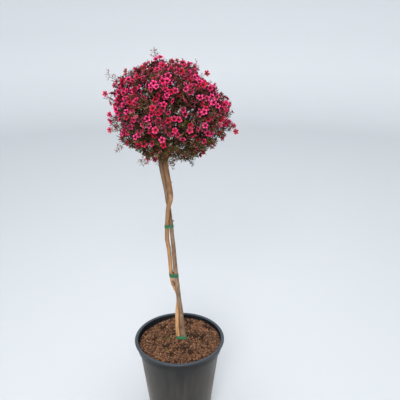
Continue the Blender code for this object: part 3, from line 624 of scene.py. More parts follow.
def pot_paint():
    """Recycled black plastic, with a thin veil of dust and drips on its wall, and a painted
    highlight on its rim's top.
    """
    paint = Paint("pot_plastic", 0.5, 0.28)
    paint.feed("Sheen Weight", 0.08)
    paint.feed("Sheen Roughness", 0.4)
    paint.feed("Sheen Tint", POT_SHEEN_TINT)
    spot = paint.place()
    wall = paint.by_height(*POT_WALL_HEIGHTS)
    # Painted highlight: the rim's top paler and bluer than its side
    top = paint.by_height(*POT_HIGHLIGHT_HEIGHTS)
    lower = paint.by_height(*POT_DUST_HEIGHTS, 0.12, 1.0)
    cloud = paint.noise(spot, 15.0, 6.0, 0.6)
    speck = paint.noise(spot, 360.0, 2.0)
    runs = paint.noise(paint.place((1.0, 1.0, 0.08)), 75.0, 4.0)
    dust = paint.span(cloud * 0.35 + runs * 0.45 + speck * 0.20, 0.39, 0.60) * lower * wall
    colour = paint.mix(wall, paint.mix(top, POT_RIM_SIDE, POT_RIM_HIGHLIGHT), POT_WALL_BLACK)
    paint.feed("Roughness", 0.32 + dust * 0.30 + speck * 0.10)
    paint.bump(speck * 0.4 + cloud * 0.6, 0.12, 0.0008)
    return paint.coloured(paint.mix(dust * 0.7, colour, POT_DUST))


def pot_inside_shade_paint():
    """The pot's inside, painted dark as the shade within it."""
    paint = Paint("pot_inside_shade", 0.5, 0.08)
    cloud = paint.noise(paint.place((1.0, 1.0, 0.3)), 60.0, 4.0)
    paint.feed("Roughness", 0.45 + cloud * 0.25)
    return paint.coloured(paint.mix(paint.span(cloud, 0.35, 0.70), *POT_INSIDE_SHADE_TONES))


def tape_paint():
    """Soft green tying tape, painted lighter low down and darker higher up, as light and shade."""
    paint = Paint("tie_tape", 0.45, 0.2)
    folds = paint.noise(paint.place((0.4, 0.4, 3.0)), 160.0, 3.0)
    paint.bump(folds, 0.5, 0.0008)
    # Painted light and shade: the tape lighter low down, darker higher up
    painted_light_and_shade = paint.by_height(*TAPE_LIGHT_AND_SHADE_HEIGHTS, 1.25, 0.78)
    return paint.coloured(paint.shaded(paint.ramp(folds, *TAPE_TONES), painted_light_and_shade))


def soil_paint():
    """Moist bark compost between the chips, painted darker in its hollows as shade."""
    paint = Paint("compost", 0.95, 0.1)
    spot = paint.place()
    broad = paint.noise(spot, 28.0, 3.0)
    coarse = paint.noise(spot, 130.0, 6.0, 0.65)
    fine = paint.noise(spot, 520.0, 4.0)
    colour = paint.ramp(broad * 0.25 + coarse * 0.45 + fine * 0.30, *SOIL_TONES)
    paint.bump(coarse * 0.5 + fine * 0.5, 0.9, 0.002)
    # Painted shade in the compost's hollows
    return paint.coloured(paint.mix(paint.marked("hollow") * 0.7, colour, HOLLOW_SHADE_COLOUR))


def floor_paint():
    """The studio's matt floor, painted darker towards its middle as shade, and paler out to its wall.
    """
    paint = Paint("pale_floor", 0.95, 0.0)
    # Painted shade: the floor darker near its middle, paler out towards the wall
    share = 1.0 / COVE_RINGS[-1][0]
    near = paint.node("ShaderNodeTexGradient", {"gradient_type": "SPHERICAL"},
                      {"Vector": paint.place((share, share, share))}, "Fac")
    return paint.coloured(paint.mix(paint.span(near, *FLOOR_SHADE_FADE), WALL_COLOUR, SHADED_FLOOR_COLOUR))


def plain_paints(colours, roughness):
    """Even colours by name, for the many small pieces that are coloured spray by spray."""
    return [Paint(name, roughness, 0.05).coloured(colour) for name, colour in colours.items()]


# Finishing

def finished(piece, name, slot, materials, *nodes):
    """Name a piece, give it its materials, and let it ride and stand for its nodes."""
    piece.name = name
    piece.data.name = name
    for material in materials:
        piece.data.materials.append(material)
    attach(piece, "root")
    if nodes:
        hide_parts(*nodes)


def active_only(piece):
    """Make one object the only selected and active one."""
    bpy.ops.object.select_all(action="DESELECT")
    piece.select_set(True)
    bpy.context.view_layer.objects.active = piece


def apply_modifier(piece, modifier):
    """Apply one modifier to its piece."""
    active_only(piece)
    bpy.ops.object.modifier_apply(modifier=modifier.name)


def press(piece, strength, weights=None, size=None, **settings):
    """Raise a piece's surface, where its corners' weights say, by a cloudy pattern or evenly."""
    relief = piece.modifiers.new("relief", "DISPLACE")
    relief.strength = strength
    if weights is not None:
        group = piece.vertex_groups.new(name="relief")
        for index in np.flatnonzero(weights > 0.01):
            group.add([int(index)], float(weights[index]), "REPLACE")
        relief.vertex_group = "relief"
    if size is not None:
        relief.texture = bpy.data.textures.new("clouds_%d" % (size * 1e5), "CLOUDS")
        relief.texture.noise_scale = size
        relief.texture.noise_depth = 2
    for key, value in settings.items():
        setattr(relief, key, value)
    apply_modifier(piece, relief)
    piece.vertex_groups.clear()


def faces_out(piece):
    """Merge a piece's double corners and turn its faces outwards."""
    active_only(piece)
    bpy.ops.object.mode_set(mode="EDIT")
    bpy.ops.mesh.select_all(action="SELECT")
    bpy.ops.mesh.remove_doubles(threshold=0.00001)
    bpy.ops.mesh.normals_make_consistent(inside=False)
    bpy.ops.object.mode_set(mode="OBJECT")
    return piece


def smoothed(piece, degrees):
    """Shade a piece smoothly, except over edges that bend by more than an angle."""
    piece.data.shade_smooth()
    piece.data.set_sharp_from_angle(angle=math.radians(degrees))


def drawn_up(segments, rings, whole_face=False, capped=False):
    """A round piece drawn up from a disc through rings of radius and height, the disc first."""
    radius, height = rings[0]
    bpy.ops.object.select_all(action="DESELECT")
    bpy.ops.mesh.primitive_circle_add(vertices=segments, radius=radius, fill_type="NGON",
                                      location=(0.0, 0.0, height))
    bpy.ops.object.transform_apply(location=True, rotation=True, scale=True)
    bpy.ops.object.mode_set(mode="EDIT")
    bpy.ops.mesh.select_mode(type="EDGE")
    extrude = bpy.ops.mesh.extrude_region_move
    if not whole_face:
        extrude = bpy.ops.mesh.extrude_edges_move
        bpy.ops.mesh.select_all(action="DESELECT")
        bpy.ops.mesh.select_non_manifold()
    for ring_radius, ring_height in rings[1:]:
        share = ring_radius / radius
        extrude(TRANSFORM_OT_translate={"value": (0.0, 0.0, ring_height - height)})
        bpy.ops.transform.resize(value=(share, share, 1.0), center_override=(0.0, 0.0, ring_height))
        radius = ring_radius
        height = ring_height
    if capped:
        bpy.ops.mesh.edge_face_add()
    bpy.ops.object.mode_set(mode="OBJECT")
    return bpy.context.object


def mark(piece, label, values):
    """Keep a number from 0 to 1 on each corner of a piece, for its paint."""
    piece.data.attributes.new(label, "FLOAT", "POINT").data.foreach_set("value", values)


def corners_of(piece):
    """All corners of a piece's mesh."""
    corners = np.zeros(len(piece.data.vertices) * 3)
    piece.data.vertices.foreach_get("co", corners)
    return corners.reshape(-1, 3)


class Heap:
    """Many small shapes, gathered into one mesh with a material number for each face."""

    def __init__(self):
        self.corners = []
        self.faces = []
        self.kinds = []
        self.total = 0

    def add(self, corners, faces, kinds):
        """Add one shape."""
        self.corners.append(corners)
        self.faces += [tuple(corner + self.total for corner in face) for face in faces]
        self.kinds += list(kinds)
        self.total += len(corners)

    def piece(self, name):
        """The mesh object of all the shapes."""
        return from_arrays(name, np.vstack(self.corners), self.faces, self.kinds)


def placed(name, data):
    """A new object in the scene."""
    made = bpy.data.objects.new(name, data)
    bpy.context.scene.collection.objects.link(made)
    return made


def from_arrays(name, corners, faces, kinds=None, smooth=False):
    """A mesh object from its corners, its faces and their material numbers."""
    mesh = bpy.data.meshes.new(name)
    mesh.from_pydata(np.asarray(corners).tolist(), [], list(faces))
    if kinds is not None:
        mesh.polygons.foreach_set("material_index", np.asarray(kinds, dtype=np.int32))
    if smooth:
        mesh.shade_smooth()
    mesh.update()
    return placed(name, mesh)


def random_axes(way, rng):
    """Three unit vectors square to each other, the last of them given, turned at random."""
    across = unit(np.cross(way, [rng.uniform(-1, 1) for axis in range(3)]))
    return np.stack((across, np.cross(way, across), way))


# Pot

def pot_rings():
    """Radius and height of every ring of the pot, up the outside, over the rim, down inside."""
    rim_low = POT_HEIGHT - RIM_DEPTH
    across, up = STEP_ROUNDING
    rings = [
        (FOOT_RADIUS - FOOT_CHAMFER, 0.0),
        (FOOT_RADIUS, FOOT_CHAMFER),
        (STEP_RADIUS - across, STEP_HEIGHT - up),
        (STEP_RADIUS, STEP_HEIGHT),
        (COLLAR_RADIUS, STEP_HEIGHT + STEP_RISE),
        (COLLAR_RADIUS + across, STEP_HEIGHT + STEP_RISE + up),
    ]
    rings += [(radius, rim_low + rise) for radius, rise in RIM_UNDERSIDE]
    for angle in np.radians(np.linspace(*RIM_TOP_TURN, RIM_TOP_STEPS)):
        rings.append((RIM_RADIUS - RIM_ROUNDING * (1.0 - math.cos(angle)),
                      POT_HEIGHT - RIM_ROUNDING * (1.0 - math.sin(angle))))
    rings += [(RIM_INNER_RADIUS + out, POT_HEIGHT + rise) for out, rise in INNER_LIP]
    return rings + [
        (COLLAR_RADIUS - POT_WALL, STEP_HEIGHT + STEP_RISE),
        (STEP_RADIUS - POT_WALL, STEP_HEIGHT),
        (FOOT_RADIUS - POT_WALL, POT_FLOOR),
    ]


def make_pot():
    """The pot, drawn up from its underside, over the rim and down inside."""
    pot = faces_out(drawn_up(POT_SEGMENTS, pot_rings(), whole_face=True))
    drill_drain_holes(pot)
    # Faces inside the pot and over its floor take the inside paint, painted dark as shade
    for face in pot.data.polygons:
        inward = face.normal.xy.dot(face.center.xy) < 0.0
        over_floor = face.normal.z > 0.5 and face.center.z < STEP_HEIGHT
        face.material_index = int((inward and face.center.z < POT_HEIGHT - 0.002) or over_floor)
    smoothed(pot, 40.0)
    finished(pot, "pot_shell", "pot", [pot_paint(), pot_inside_shade_paint()], "pot")


def drill_drain_holes(pot):
    """Cut the ring of drain holes through the pot's floor."""
    drills = []
    for way in around(HOLE_COUNT, 0.5):
        bpy.ops.mesh.primitive_cylinder_add(vertices=24, radius=HOLE_RADIUS, depth=4.0 * POT_FLOOR,
                                            location=way * HOLE_CIRCLE + upward(POT_FLOOR / 2.0))
        drills.append(bpy.context.object)
    drill = joined(drills)
    cut = pot.modifiers.new("drain holes", "BOOLEAN")
    cut.operation = "DIFFERENCE"
    cut.object = drill
    apply_modifier(pot, cut)
    bpy.data.objects.remove(drill, do_unlink=True)


# Compost

def soil_rings():
    """Radius and height of every ring of the compost, from its middle out and down the wall."""
    edge = COLLAR_RADIUS - POT_WALL - SOIL_GAP
    rings = [(edge * (step + 1) / SOIL_RINGS, SOIL_LEVEL) for step in range(SOIL_RINGS)]
    return rings + [
        (edge, STEP_HEIGHT + STEP_RISE),
        (STEP_RADIUS - POT_WALL - SOIL_GAP, STEP_HEIGHT),
        (FOOT_RADIUS - POT_WALL - SOIL_GAP, POT_FLOOR + SOIL_GAP),
    ]


def make_soil(rng):
    """The compost: a lumpy top, and sides that go down along the pot's wall to its floor."""
    soil = faces_out(drawn_up(SOIL_SEGMENTS, soil_rings(), capped=True))
    roughen_soil(soil)
    smoothed(soil, 60.0)
    finished(soil, "compost", "soil", [soil_paint()], "soil")
    make_chips(soil, rng)


def roughen_soil(soil):
    """Lumps all over the compost's top except close round the stems, and a rise at the back."""
    corners = corners_of(soil)
    foot = np.array((PAIR_LINE[0][1], PAIR_FOOT_Y, SOIL_LEVEL))
    on_top = corners[:, 2] > SOIL_LEVEL - 0.001
    lumpy = np.interp(lengths_of(corners - foot), SOIL_FLAT_ROOM, (0.0, 1.0)) * on_top
    rise = np.interp(corners[:, :2] @ SOIL_BACK_WAY, SOIL_BACK_ROOM, (0.0, 1.0)) * on_top
    for size, height in SOIL_LUMPS:
        press(soil, height, lumpy, size, texture_coords="LOCAL", direction="Z",
              mid_level=SOIL_LUMP_MIDDLE)
    press(soil, SOIL_BACK_RISE, rise, direction="Z", mid_level=0.0)
    # Hollows pressed in, and marked for the paint's painted shade
    hollow = hollowness(corners) * on_top
    press(soil, -HOLLOW_DEPTH, hollow, direction="Z", mid_level=0.0)
    mark(soil, "hollow", hollow)


def hollowness(places):
    """How far into one of the compost's hollows each place lies, from 0 to 1."""
    deepest = np.zeros(len(places))
    for x, y, radius in HOLLOWS:
        away = lengths_of(places[:, :2] - (x, y))
        deepest = np.maximum(deepest, np.exp(-(away / radius) ** 2))
    return deepest


FLAKE = np.array((
    (-0.5, -0.22, 0.0), (0.5, -0.16, 0.05), (0.42, 0.20, 0.0), (-0.46, 0.16, 0.08),
    (-0.34, -0.12, 0.26), (0.32, -0.10, 0.30), (0.28, 0.12, 0.24), (-0.30, 0.10, 0.32),
))
FLAKE_SIDES = (
    (0, 1, 5), (0, 5, 4), (1, 2, 6), (1, 6, 5), (2, 3, 7), (2, 7, 6), (3, 0, 4), (3, 4, 7),
    (4, 5, 6), (4, 6, 7), (3, 2, 1), (3, 1, 0),
)
CHIP_COLOURS = {
    "chip_brown": (0.140, 0.068, 0.038),
    "chip_red": (0.225, 0.104, 0.055),
    "chip_pale": (0.300, 0.165, 0.095),
    "chip_dark_and_shade": (0.030, 0.016, 0.010),
    "grit_white": (0.560, 0.490, 0.420),
    "moss_green": (0.075, 0.100, 0.016),
    "leaf_yellow": (0.520, 0.330, 0.060),
    "chip_orange": (0.520, 0.160, 0.045),
}
CHIP_SHARES = (0.40, 0.27, 0.08, 0.25)
CLOD_KINDS = (0, 1, 1)
# The dark chip, also put in the hollows as painted shade
SHADE_CHIP, GRIT, MOSS = 3, 4, 5


def make_chips(soil, rng):
    """Bark chips, pale grit, moss and a few bright flakes, lying on the compost."""
    heap = Heap()
    foot = np.array((PAIR_LINE[0][1], PAIR_FOOT_Y))
    reach = (COLLAR_RADIUS - POT_WALL) * CHIP_REACH
    bpy.context.view_layer.update()
    for index in range(CHIP_COUNT + GRIT_COUNT):
        place = turned(rng.uniform(0.0, 360.0))[:2] * (reach * math.sqrt(rng.random()))
        grit = index >= CHIP_COUNT
        if grit:
            size = rng.uniform(*GRIT_LENGTH)
        else:
            size = CHIP_LENGTH[0] + CHIP_LENGTH[1] * rng.random() ** CHIP_FINENESS
        kind = GRIT if grit else rng.choices(range(len(CHIP_SHARES)), CHIP_SHARES)[0]
        if index < CLOD_COUNT:
            size = rng.uniform(*CLOD_LENGTH)
            kind = rng.choice(CLOD_KINDS)
        # Chips in the hollows turn dark, as painted shade
        if rng.random() < hollowness(place[None])[0]:
            kind = SHADE_CHIP
        if np.linalg.norm(place - foot) > STEM_ROOM:
            lift = rng.uniform(*CHIP_LIFT)
            fatness = GRIT_FATNESS if grit else CHIP_FATNESS
            add_flake(heap, soil, place, size, fatness, kind, lift, rng)
    for x, y, radius in MOSS_PATCHES:
        for tuft in range(MOSS_TUFTS):
            place = (x, y) + np.array([rng.gauss(0.0, radius * share) for share in MOSS_SPREAD])
            size = rng.uniform(*MOSS_LENGTH)
            add_flake(heap, soil, place, size, MOSS_FATNESS, MOSS, MOSS_LIFT, rng)
    size, fatness, lift = BRIGHT_CHIP
    for x, y, kind in BRIGHT_CHIPS:
        add_flake(heap, soil, np.array((x, y)), size, fatness, kind, lift, rng)
    finished(heap.piece("chips"), "bark_chips", "soil", plain_paints(CHIP_COLOURS, 0.9))


def add_flake(heap, soil, place, size, fatness, kind, lift, rng):
    """One chip, lying nearly flat on the compost, lifted or sunk a little."""
    broad = rng.uniform(*CHIP_BREADTH) * fatness
    shape = FLAKE * (size, size * broad, size * CHIP_DEPTH * fatness)
    spin = rng.uniform(0.0, FULL_TURN)
    shape = shape @ turned_by(spin, rng.gauss(0.0, CHIP_TILT), rng.gauss(0.0, CHIP_TILT)).T
    spot = np.array(soil.ray_cast((*place, POT_HEIGHT), (0.0, 0.0, -1.0))[1])
    heap.add(shape + spot + (0.0, 0.0, lift), FLAKE_SIDES, [kind] * len(FLAKE_SIDES))


def turned_by(spin, tip, roll):
    """A rotation matrix from three angles."""
    cs, ss = math.cos(spin), math.sin(spin)
    ct, st = math.cos(tip), math.sin(tip)
    cr, sr = math.cos(roll), math.sin(roll)
    about_z = np.array(((cs, -ss, 0), (ss, cs, 0), (0, 0, 1)))
    about_y = np.array(((ct, 0, st), (0, 1, 0), (-st, 0, ct)))
    about_x = np.array(((1, 0, 0), (0, cr, -sr), (0, sr, cr)))
    return about_z @ about_y @ about_x


# Stems, boughs and tape

def limb_curve(points, radii, resolution):
    """A tapering round limb along a path, made as a bevelled curve and turned into a mesh."""
    bpy.ops.object.select_all(action="DESELECT")
    bpy.ops.curve.primitive_nurbs_path_add(radius=1.0)
    limb = bpy.context.object
    limb.data.splines.clear()
    spline = limb.data.splines.new("POLY")
    spline.points.add(len(points) - 1)
    for place, point, radius in zip(spline.points, points, radii):
        place.co = (*point, 1.0)
        place.radius = radius
    limb.data.bevel_depth = 1.0
    limb.data.bevel_resolution = resolution
    limb.data.use_fill_caps = True
    limb.data.twist_mode = "MINIMUM"
    bpy.ops.object.convert(target="MESH")
    return faces_out(bpy.context.object)


def joined(limbs):
    """Several pieces joined into the first."""
    active_only(limbs[0])
    for limb in limbs:
        limb.select_set(True)
    bpy.ops.object.join()
    return bpy.context.object


def carve_bark(limb, depth):
    """Long ridges and cracks along a limb, pressed into its surface."""
    guide = placed("bark_guide", None)
    guide.scale = (1.0, 1.0, BARK_STRETCH)
    bpy.context.view_layer.update()
    for size, share in BARK_RIDGES:
        press(limb, depth * share, None, size, texture_coords="OBJECT",
              texture_coords_object=guide, mid_level=0.5)
    bpy.data.objects.remove(guide, do_unlink=True)
    limb.data.shade_smooth()


def nearness(corners, name, height, degrees, size):
    """How near each corner is to a place on a stem's bark, from 0 to 1."""
    place = stem_point(name, height) + turned(degrees) * stem_radius(name, height)
    return np.exp(-(lengths_of((corners - place) * MARK_STRETCH) / size) ** 2)


def mark_bark(stem, name):
    """Raise a stem's knots, and mark its knots, painted shade patches and scars for the paint."""
    corners = corners_of(stem)
    dark = np.zeros(len(corners))
    lift = np.zeros(len(corners))
    pale = np.zeros(len(corners))
    highest = max(row[4] for row in KNOTS_AND_SHADE)
    for stem_name, height, degrees, size, rise, darkness in KNOTS_AND_SHADE:
        if stem_name == name:
            near = nearness(corners, name, height, degrees, size)
            dark = np.maximum(dark, near * darkness)
            lift = np.maximum(lift, near * rise / highest)
    for stem_name, height, degrees, size in SCARS:
        if stem_name == name:
            pale = np.maximum(pale, nearness(corners, name, height, degrees, size))
    mark(stem, "knot", dark)
    mark(stem, "scar", pale)
    press(stem, highest, lift, mid_level=0.0)


def make_stub(name, height, degrees, length):
    """The stub of a side shoot that was pruned away."""
    out = turned(degrees)
    root = stem_point(name, height) + out * (stem_radius(name, height) * STUB_ROOT)
    rise = upward(STUB_RISE * length)
    reach = stem_radius(name, height) * (1.0 - STUB_ROOT) + length
    points = [root, root + out * (reach * 0.5) + rise * 0.3, root + out * reach + rise]
    return limb_curve(points, STUB_RADII, 4)


def make_stems():
    """Both stems with their bark, knots and stubs. Returns their paints."""
    barks = {name: bark_paint(name + "_bark", *tones) for name, tones in BARK_TONES.items()}
    for name, bark in barks.items():
        heights = np.linspace(STEM_TAPER[name][0][0], STEM_TAPER[name][-1][0], STEM_RINGS)
        points = [stem_point(name, height) for height in heights]
        radii = [stem_radius(name, height) + BARK_SWELL for height in heights]
        stubs = [make_stub(*row) for row in STUBS if row[0] == name]
        stem = joined([limb_curve(points, radii, 10)] + stubs)
        carve_bark(stem, BARK_RELIEF)
        mark_bark(stem, name)
        finished(stem, "bark_" + name, name + "_bark", [bark], "stem_" + name)
    return barks


def loop_round_stems(height, margin):
    """Points of a taut loop round both stems at one height."""
    points = []
    for out in around(TIE_STEPS):
        touches = [stem_point(name, height) + out * (stem_radius(name, height) + margin)
                   for name in STEM_SIDE]
        points.append(max(touches, key=out.dot))
    return points


def tie_row(height, share, slack, phase):
    """Corners of one row of a tie: creased, a little aslant, and looser towards its top."""
    centre = between_stems(height)
    along, up = TIE_CREASE_TURNS
    corners = []
    for step, point in enumerate(loop_round_stems(height, TIE_CLEARANCE + TIE_THICKNESS)):
        angle = FULL_TURN * step / TIE_STEPS
        crease = TIE_CREASE * (1.0 - abs(share)) * math.sin(along * angle + up * share + phase)
        loose = slack * (1.0 - math.sin(angle)) * (0.5 + share)
        slant = TIE_SLANT * math.sin(angle + phase)
        out = unit((point - centre) * (1.0, 1.0, 0.0))
        corners.append(point + out * (crease + loose) + (0.0, 0.0, slant))
    return corners


def make_ties(rng):
    """Each tie is a strip of tape wound round both stems."""
    tape = tape_paint()
    for name, (middle, width, slack) in TIES.items():
        corners = []
        phase = rng.uniform(0.0, FULL_TURN)
        for row in range(TIE_ROWS):
            share = row / (TIE_ROWS - 1) - 0.5
            corners += tie_row(middle + width * share * TIE_FULLNESS, share, slack, phase)
        band = from_arrays(name, corners, tube_faces(TIE_ROWS, TIE_STEPS)[1:-1])
        wall = band.modifiers.new("thickness", "SOLIDIFY")
        wall.thickness = TIE_THICKNESS
        wall.offset = -1.0
        apply_modifier(band, wall)
        smoothed(band, 50.0)
        finished(band, "tape_" + name[4:], "tie_tape", [tape], name)


# Crown: the source's rule, with finer twigs

def towards(azimuth, elevation):
    """A unit vector from its azimuth and elevation in degrees."""
    angle = math.radians(elevation)
    return turned(azimuth) * math.cos(angle) + upward(math.sin(angle))


def swelled(ways, middles, widths, changes):
    """One for each direction, and more or less near the middles of the swells."""
    reach = np.ones(ways.shape[:-1])
    for middle, width, change in zip(middles, widths, changes):
        angle = np.degrees(np.arccos(np.clip(ways @ middle, -1.0, 1.0)))
        reach = reach + change * np.exp(-(angle / width) ** 2)
    return reach


def swells(ways, rows):
    """One for each direction, and more or less near the azimuth and elevation of each row."""
    azimuths, elevations, widths, changes = zip(*rows)
    return swelled(ways, map(towards, azimuths, elevations), widths, changes)


def clumps(ways, count, width, change, seed):
    """One for each direction, and more or less in small clumps all round."""
    changes = np.random.default_rng(seed).uniform(*change, count)
    return swelled(ways, spread(count, *ALL_ROUND), [width] * count, changes)


def outline(ways):
    """How far the crown reaches in each direction, as a share of its plain ball."""
    return swells(ways, CROWN_SWELLS)


def clipped(ways):
    """How far leaves and blossom go in each direction, as a share of the crown's reach."""
    return swells(ways, EDGE_TRIMS) * clumps(ways, *EDGE_CLUMPS)


def crown_point(ways, depth):
    """The points at a share of the crown's reach in each direction."""
    return CROWN_CENTRE + ways * CROWN_REACH * (outline(ways) * depth)[..., None]


def depth_of(points):
    """How far out points lie, as a share of the crown's reach in their direction."""
    scaled = (points - CROWN_CENTRE) / CROWN_REACH
    return lengths_of(scaled) / outline(unit(scaled))


def spread(count, top, bottom):
    """Directions spread evenly between two heights of the unit ball."""
    index = np.arange(count)
    height = top + (bottom - top) * index / (count - 1)
    flat = np.sqrt(1.0 - height * height)
    angle = GOLDEN_ANGLE * index
    return np.stack((flat * np.cos(angle), flat * np.sin(angle), height), axis=1)


MASS_WAYS = spread(MASS_COUNT, MASS_TOP, MASS_BOTTOM)
MASS_MIDDLES = crown_point(MASS_WAYS, MASS_MIDDLE)
FOLIAGE_NODES = ["foliage_%02d" % (index + 1) for index in range(MASS_COUNT)]
BOUGH_NODES = ["bough_%02d" % (index + 1) for index in range(MASS_COUNT)]


def in_gap(points):
    """True for each point that would close one of the gaps through the crown."""
    closed = np.zeros(len(points), dtype=bool)
    eye = np.array(CAMERA_PLACE)
    for x, height, radius in GAPS:
        way = unit(np.array((x, CROWN_CENTRE[1], height)) - eye)
        run = points - eye
        away = run - (run @ way)[:, None] * way
        closed |= lengths_of(away) < radius
    return closed


def near_long_shoot(points):
    """True for each point close to the tip of a shoot that stands out of the crown."""
    away = lengths_of(points[:, None] - SHOOT_TIPS[None])
    return np.min(away, axis=1) < LONG_SHOOT_ROOM


def bough_start(place, side_boughs, end):
    """Where a bough leaves its stem, and in which direction."""
    if place >= side_boughs:
        name = list(STEM_SIDE)[place - side_boughs]
        top = STEM_TAPER[name][-1][0]
        way = unit(stem_point(name, top) - stem_point(name, top - 0.01))
        return stem_point(name, top) + way * CLEARANCE, way
    height = BOUGH_LOWEST + (BOUGH_HIGHEST - BOUGH_LOWEST) * place / (side_boughs - 1)
    middle = between_stems(height)
    name = max(STEM_SIDE, key=lambda item: (stem_point(item, height) - middle) @ (end - middle))
    foot = stem_point(name, height)
    way = unit((end - foot) * (1.0, 1.0, 0.0))
    return foot + way * (stem_radius(name, height) * BOUGH_ROOT_DEPTH), way


def bough_paths():
    """The path of each bough, by mass, as in the solids."""
    paths = {}
    side_boughs = MASS_COUNT - len(STEM_SIDE)
    for place, index in enumerate(np.argsort(MASS_MIDDLES[:, 2], kind="stable")):
        end = crown_point(MASS_WAYS[index], BOUGH_END)
        start, way = bough_start(place, side_boughs, end)
        paths[index] = sprung(start, way, end, BOUGH_RINGS)
    return paths


def make_boughs(paths, bark):
    """Every bough with its bark, joined into one piece."""
    limbs = []
    for path in paths.values():
        radii = np.linspace(BOUGH_ROOT_RADIUS, BOUGH_TIP_RADIUS, len(path))
        radii[0] *= BOUGH_FLARE
        limbs.append(limb_curve(path, radii, 4))
    boughs = joined(limbs)
    carve_bark(boughs, BARK_RELIEF * BOUGH_RELIEF)
    finished(boughs, "bark_boughs", "grey_bark", [bark], *BOUGH_NODES)


class Wood:
    """Many thin limbs: their paths and radii."""

    def __init__(self):
        self.paths = []
        self.radii = []

    def add(self, path, root_radius, tip_radius):
        """Keep one limb."""
        self.paths.append(path)
        self.radii.append(np.linspace(root_radius, tip_radius, len(path)))

    def piece(self, name, sides):
        """Every limb as a closed tapering tube, joined into one mesh."""
        heap = Heap()
        angles = FULL_TURN * np.arange(sides)[:, None] / sides
        for path, radii in zip(self.paths, self.radii):
            ways = unit(np.gradient(path, axis=0))
            across = unit(np.cross(ways, HINT))
            beside = np.cross(ways, across)
            ring = across[:, None] * np.cos(angles) + beside[:, None] * np.sin(angles)
            corners = (path[:, None] + ring * radii[:, None, None]).reshape(-1, 3)
            heap.add(corners, tube_faces(len(path), sides), ())
        return from_arrays(name, np.vstack(heap.corners), heap.faces, smooth=True)


def tube_faces(rings, sides):
    """Faces of a tube with closed ends."""
    faces = [tuple(reversed(range(sides)))]
    for low in range(0, (rings - 1) * sides, sides):
        for side in range(sides):
            after = (side + 1) % sides
            faces.append((low + side, low + after, low + sides + after, low + sides + side))
    faces.append(tuple(range((rings - 1) * sides, rings * sides)))
    return faces


def shell_tips(rng):
    """Every tip that a twig reaches for, in shells, and then the shoots that stand out."""
    shells = []
    for depth, count, jitter in TIP_SHELLS:
        shake = [[rng.uniform(-jitter, jitter) for axis in range(3)] for tip in range(count)]
        ways = spread(count, *SHELL_ENDS)
        shells.append(crown_point(ways, depth * clipped(ways)) + np.array(shake))
    return np.vstack(shells + [SHOOT_TIPS])


def grow_twigs(paths, rng):
    """Twigs from each mass's stem to every tip, each from the nearest wood already there."""
    tips = shell_tips(rng)
    owners = np.argmin(lengths_of(tips[:, None] - MASS_MIDDLES[None]), axis=1)
    wood = Wood()
    for index in range(MASS_COUNT):
        bough = paths[index]
        end = crown_point(MASS_WAYS[index], MASS_STEM_DEPTH)
        stem = sprung(bough[-1], unit(bough[-1] - bough[-2]), end, MASS_STEM_RINGS)
        wood.add(stem, BOUGH_TIP_RADIUS, MASS_STEM_TIP)
        places = [stem[1:]]
        leads = [unit(np.gradient(stem, axis=0))[1:]]
        own = tips[owners == index]
        for tip in own[np.argsort(lengths_of(own - bough[-1]))]:
            path = twig_path(np.vstack(places), np.vstack(leads), tip)
            if path is not None:
                wood.add(path, *TWIG_RADII)
                places.append(path[1:])
                leads.append(unit(np.gradient(path, axis=0))[1:])
    return wood


def twig_path(spots, leads, tip):
    """The path of one twig, from the spot of the wood that costs least, or None if too short."""
    run = tip - spots
    length = np.maximum(lengths_of(run), 1e-6)
    along = np.sum(run * leads, axis=1) / length
    best = int(np.argmin(length * (1.0 + TWIG_STRAY * (1.0 - along))))
    if length[best] < TWIG_SHORTEST:
        return None
    aim = leads[best] + run[best] / length[best] * TWIG_AIM
    return bend(spots[best], spots[best] + aim * length[best] * TWIG_PULL, tip, TWIG_RINGS)


def grow_shoots(wood, rng):
    """Fine side shoots all along the twigs: where they start, their way and their length."""
    starts = []
    ways = []
    lengths = []
    for path in wood.paths:
        run = lengths_of(np.diff(path, axis=0)).sum()
        count = int(run / SHOOT_SPACING)
        turn = rng.uniform(0.0, FULL_TURN)
        for step in range(count):
            place = (step + SHOOT_OFFSET) / count * (len(path) - 1)
            low = min(int(place), len(path) - 2)
            way = unit(path[low + 1] - path[low])
            side = unit(np.cross(way, HINT))
            angle = turn + GOLDEN_ANGLE * step
            side = side * math.cos(angle) + np.cross(way, side) * math.sin(angle)
            starts.append(path[low] + (path[low + 1] - path[low]) * (place - low))
            ways.append(unit(way * SHOOT_FORWARD + side + upward(SHOOT_UPWARD)))
            lengths.append(rng.uniform(*SHOOT_LENGTH))
        starts.append(path[-1])
        ways.append(unit(path[-1] - path[-2]))
        lengths.append(rng.uniform(*SHOOT_LENGTH) * SHOOT_END_SHARE)
    return kept_shoots(np.array(starts), np.array(ways), np.array(lengths), rng)


def kept_shoots(starts, ways, lengths, rng):
    """The shoots that stay within the crown, and for each whether it is on a long shoot."""
    stands_out = near_long_shoot(starts) & (depth_of(starts) > LONG_SHOOT_DEPTH)
    lengths = np.where(stands_out, lengths * LONG_SHOOT_SHARE, lengths)
    ends = starts + ways * lengths[:, None]
    limit = SHOOT_REACH * clipped(unit((ends - CROWN_CENTRE) / CROWN_REACH))
    limit += [rng.gauss(0.0, SPRAY_STRAY) for end in ends]
    keep = ((depth_of(ends) < limit) | stands_out) & ~in_gap(ends)
    return starts[keep], ways[keep], lengths[keep], stands_out[keep]


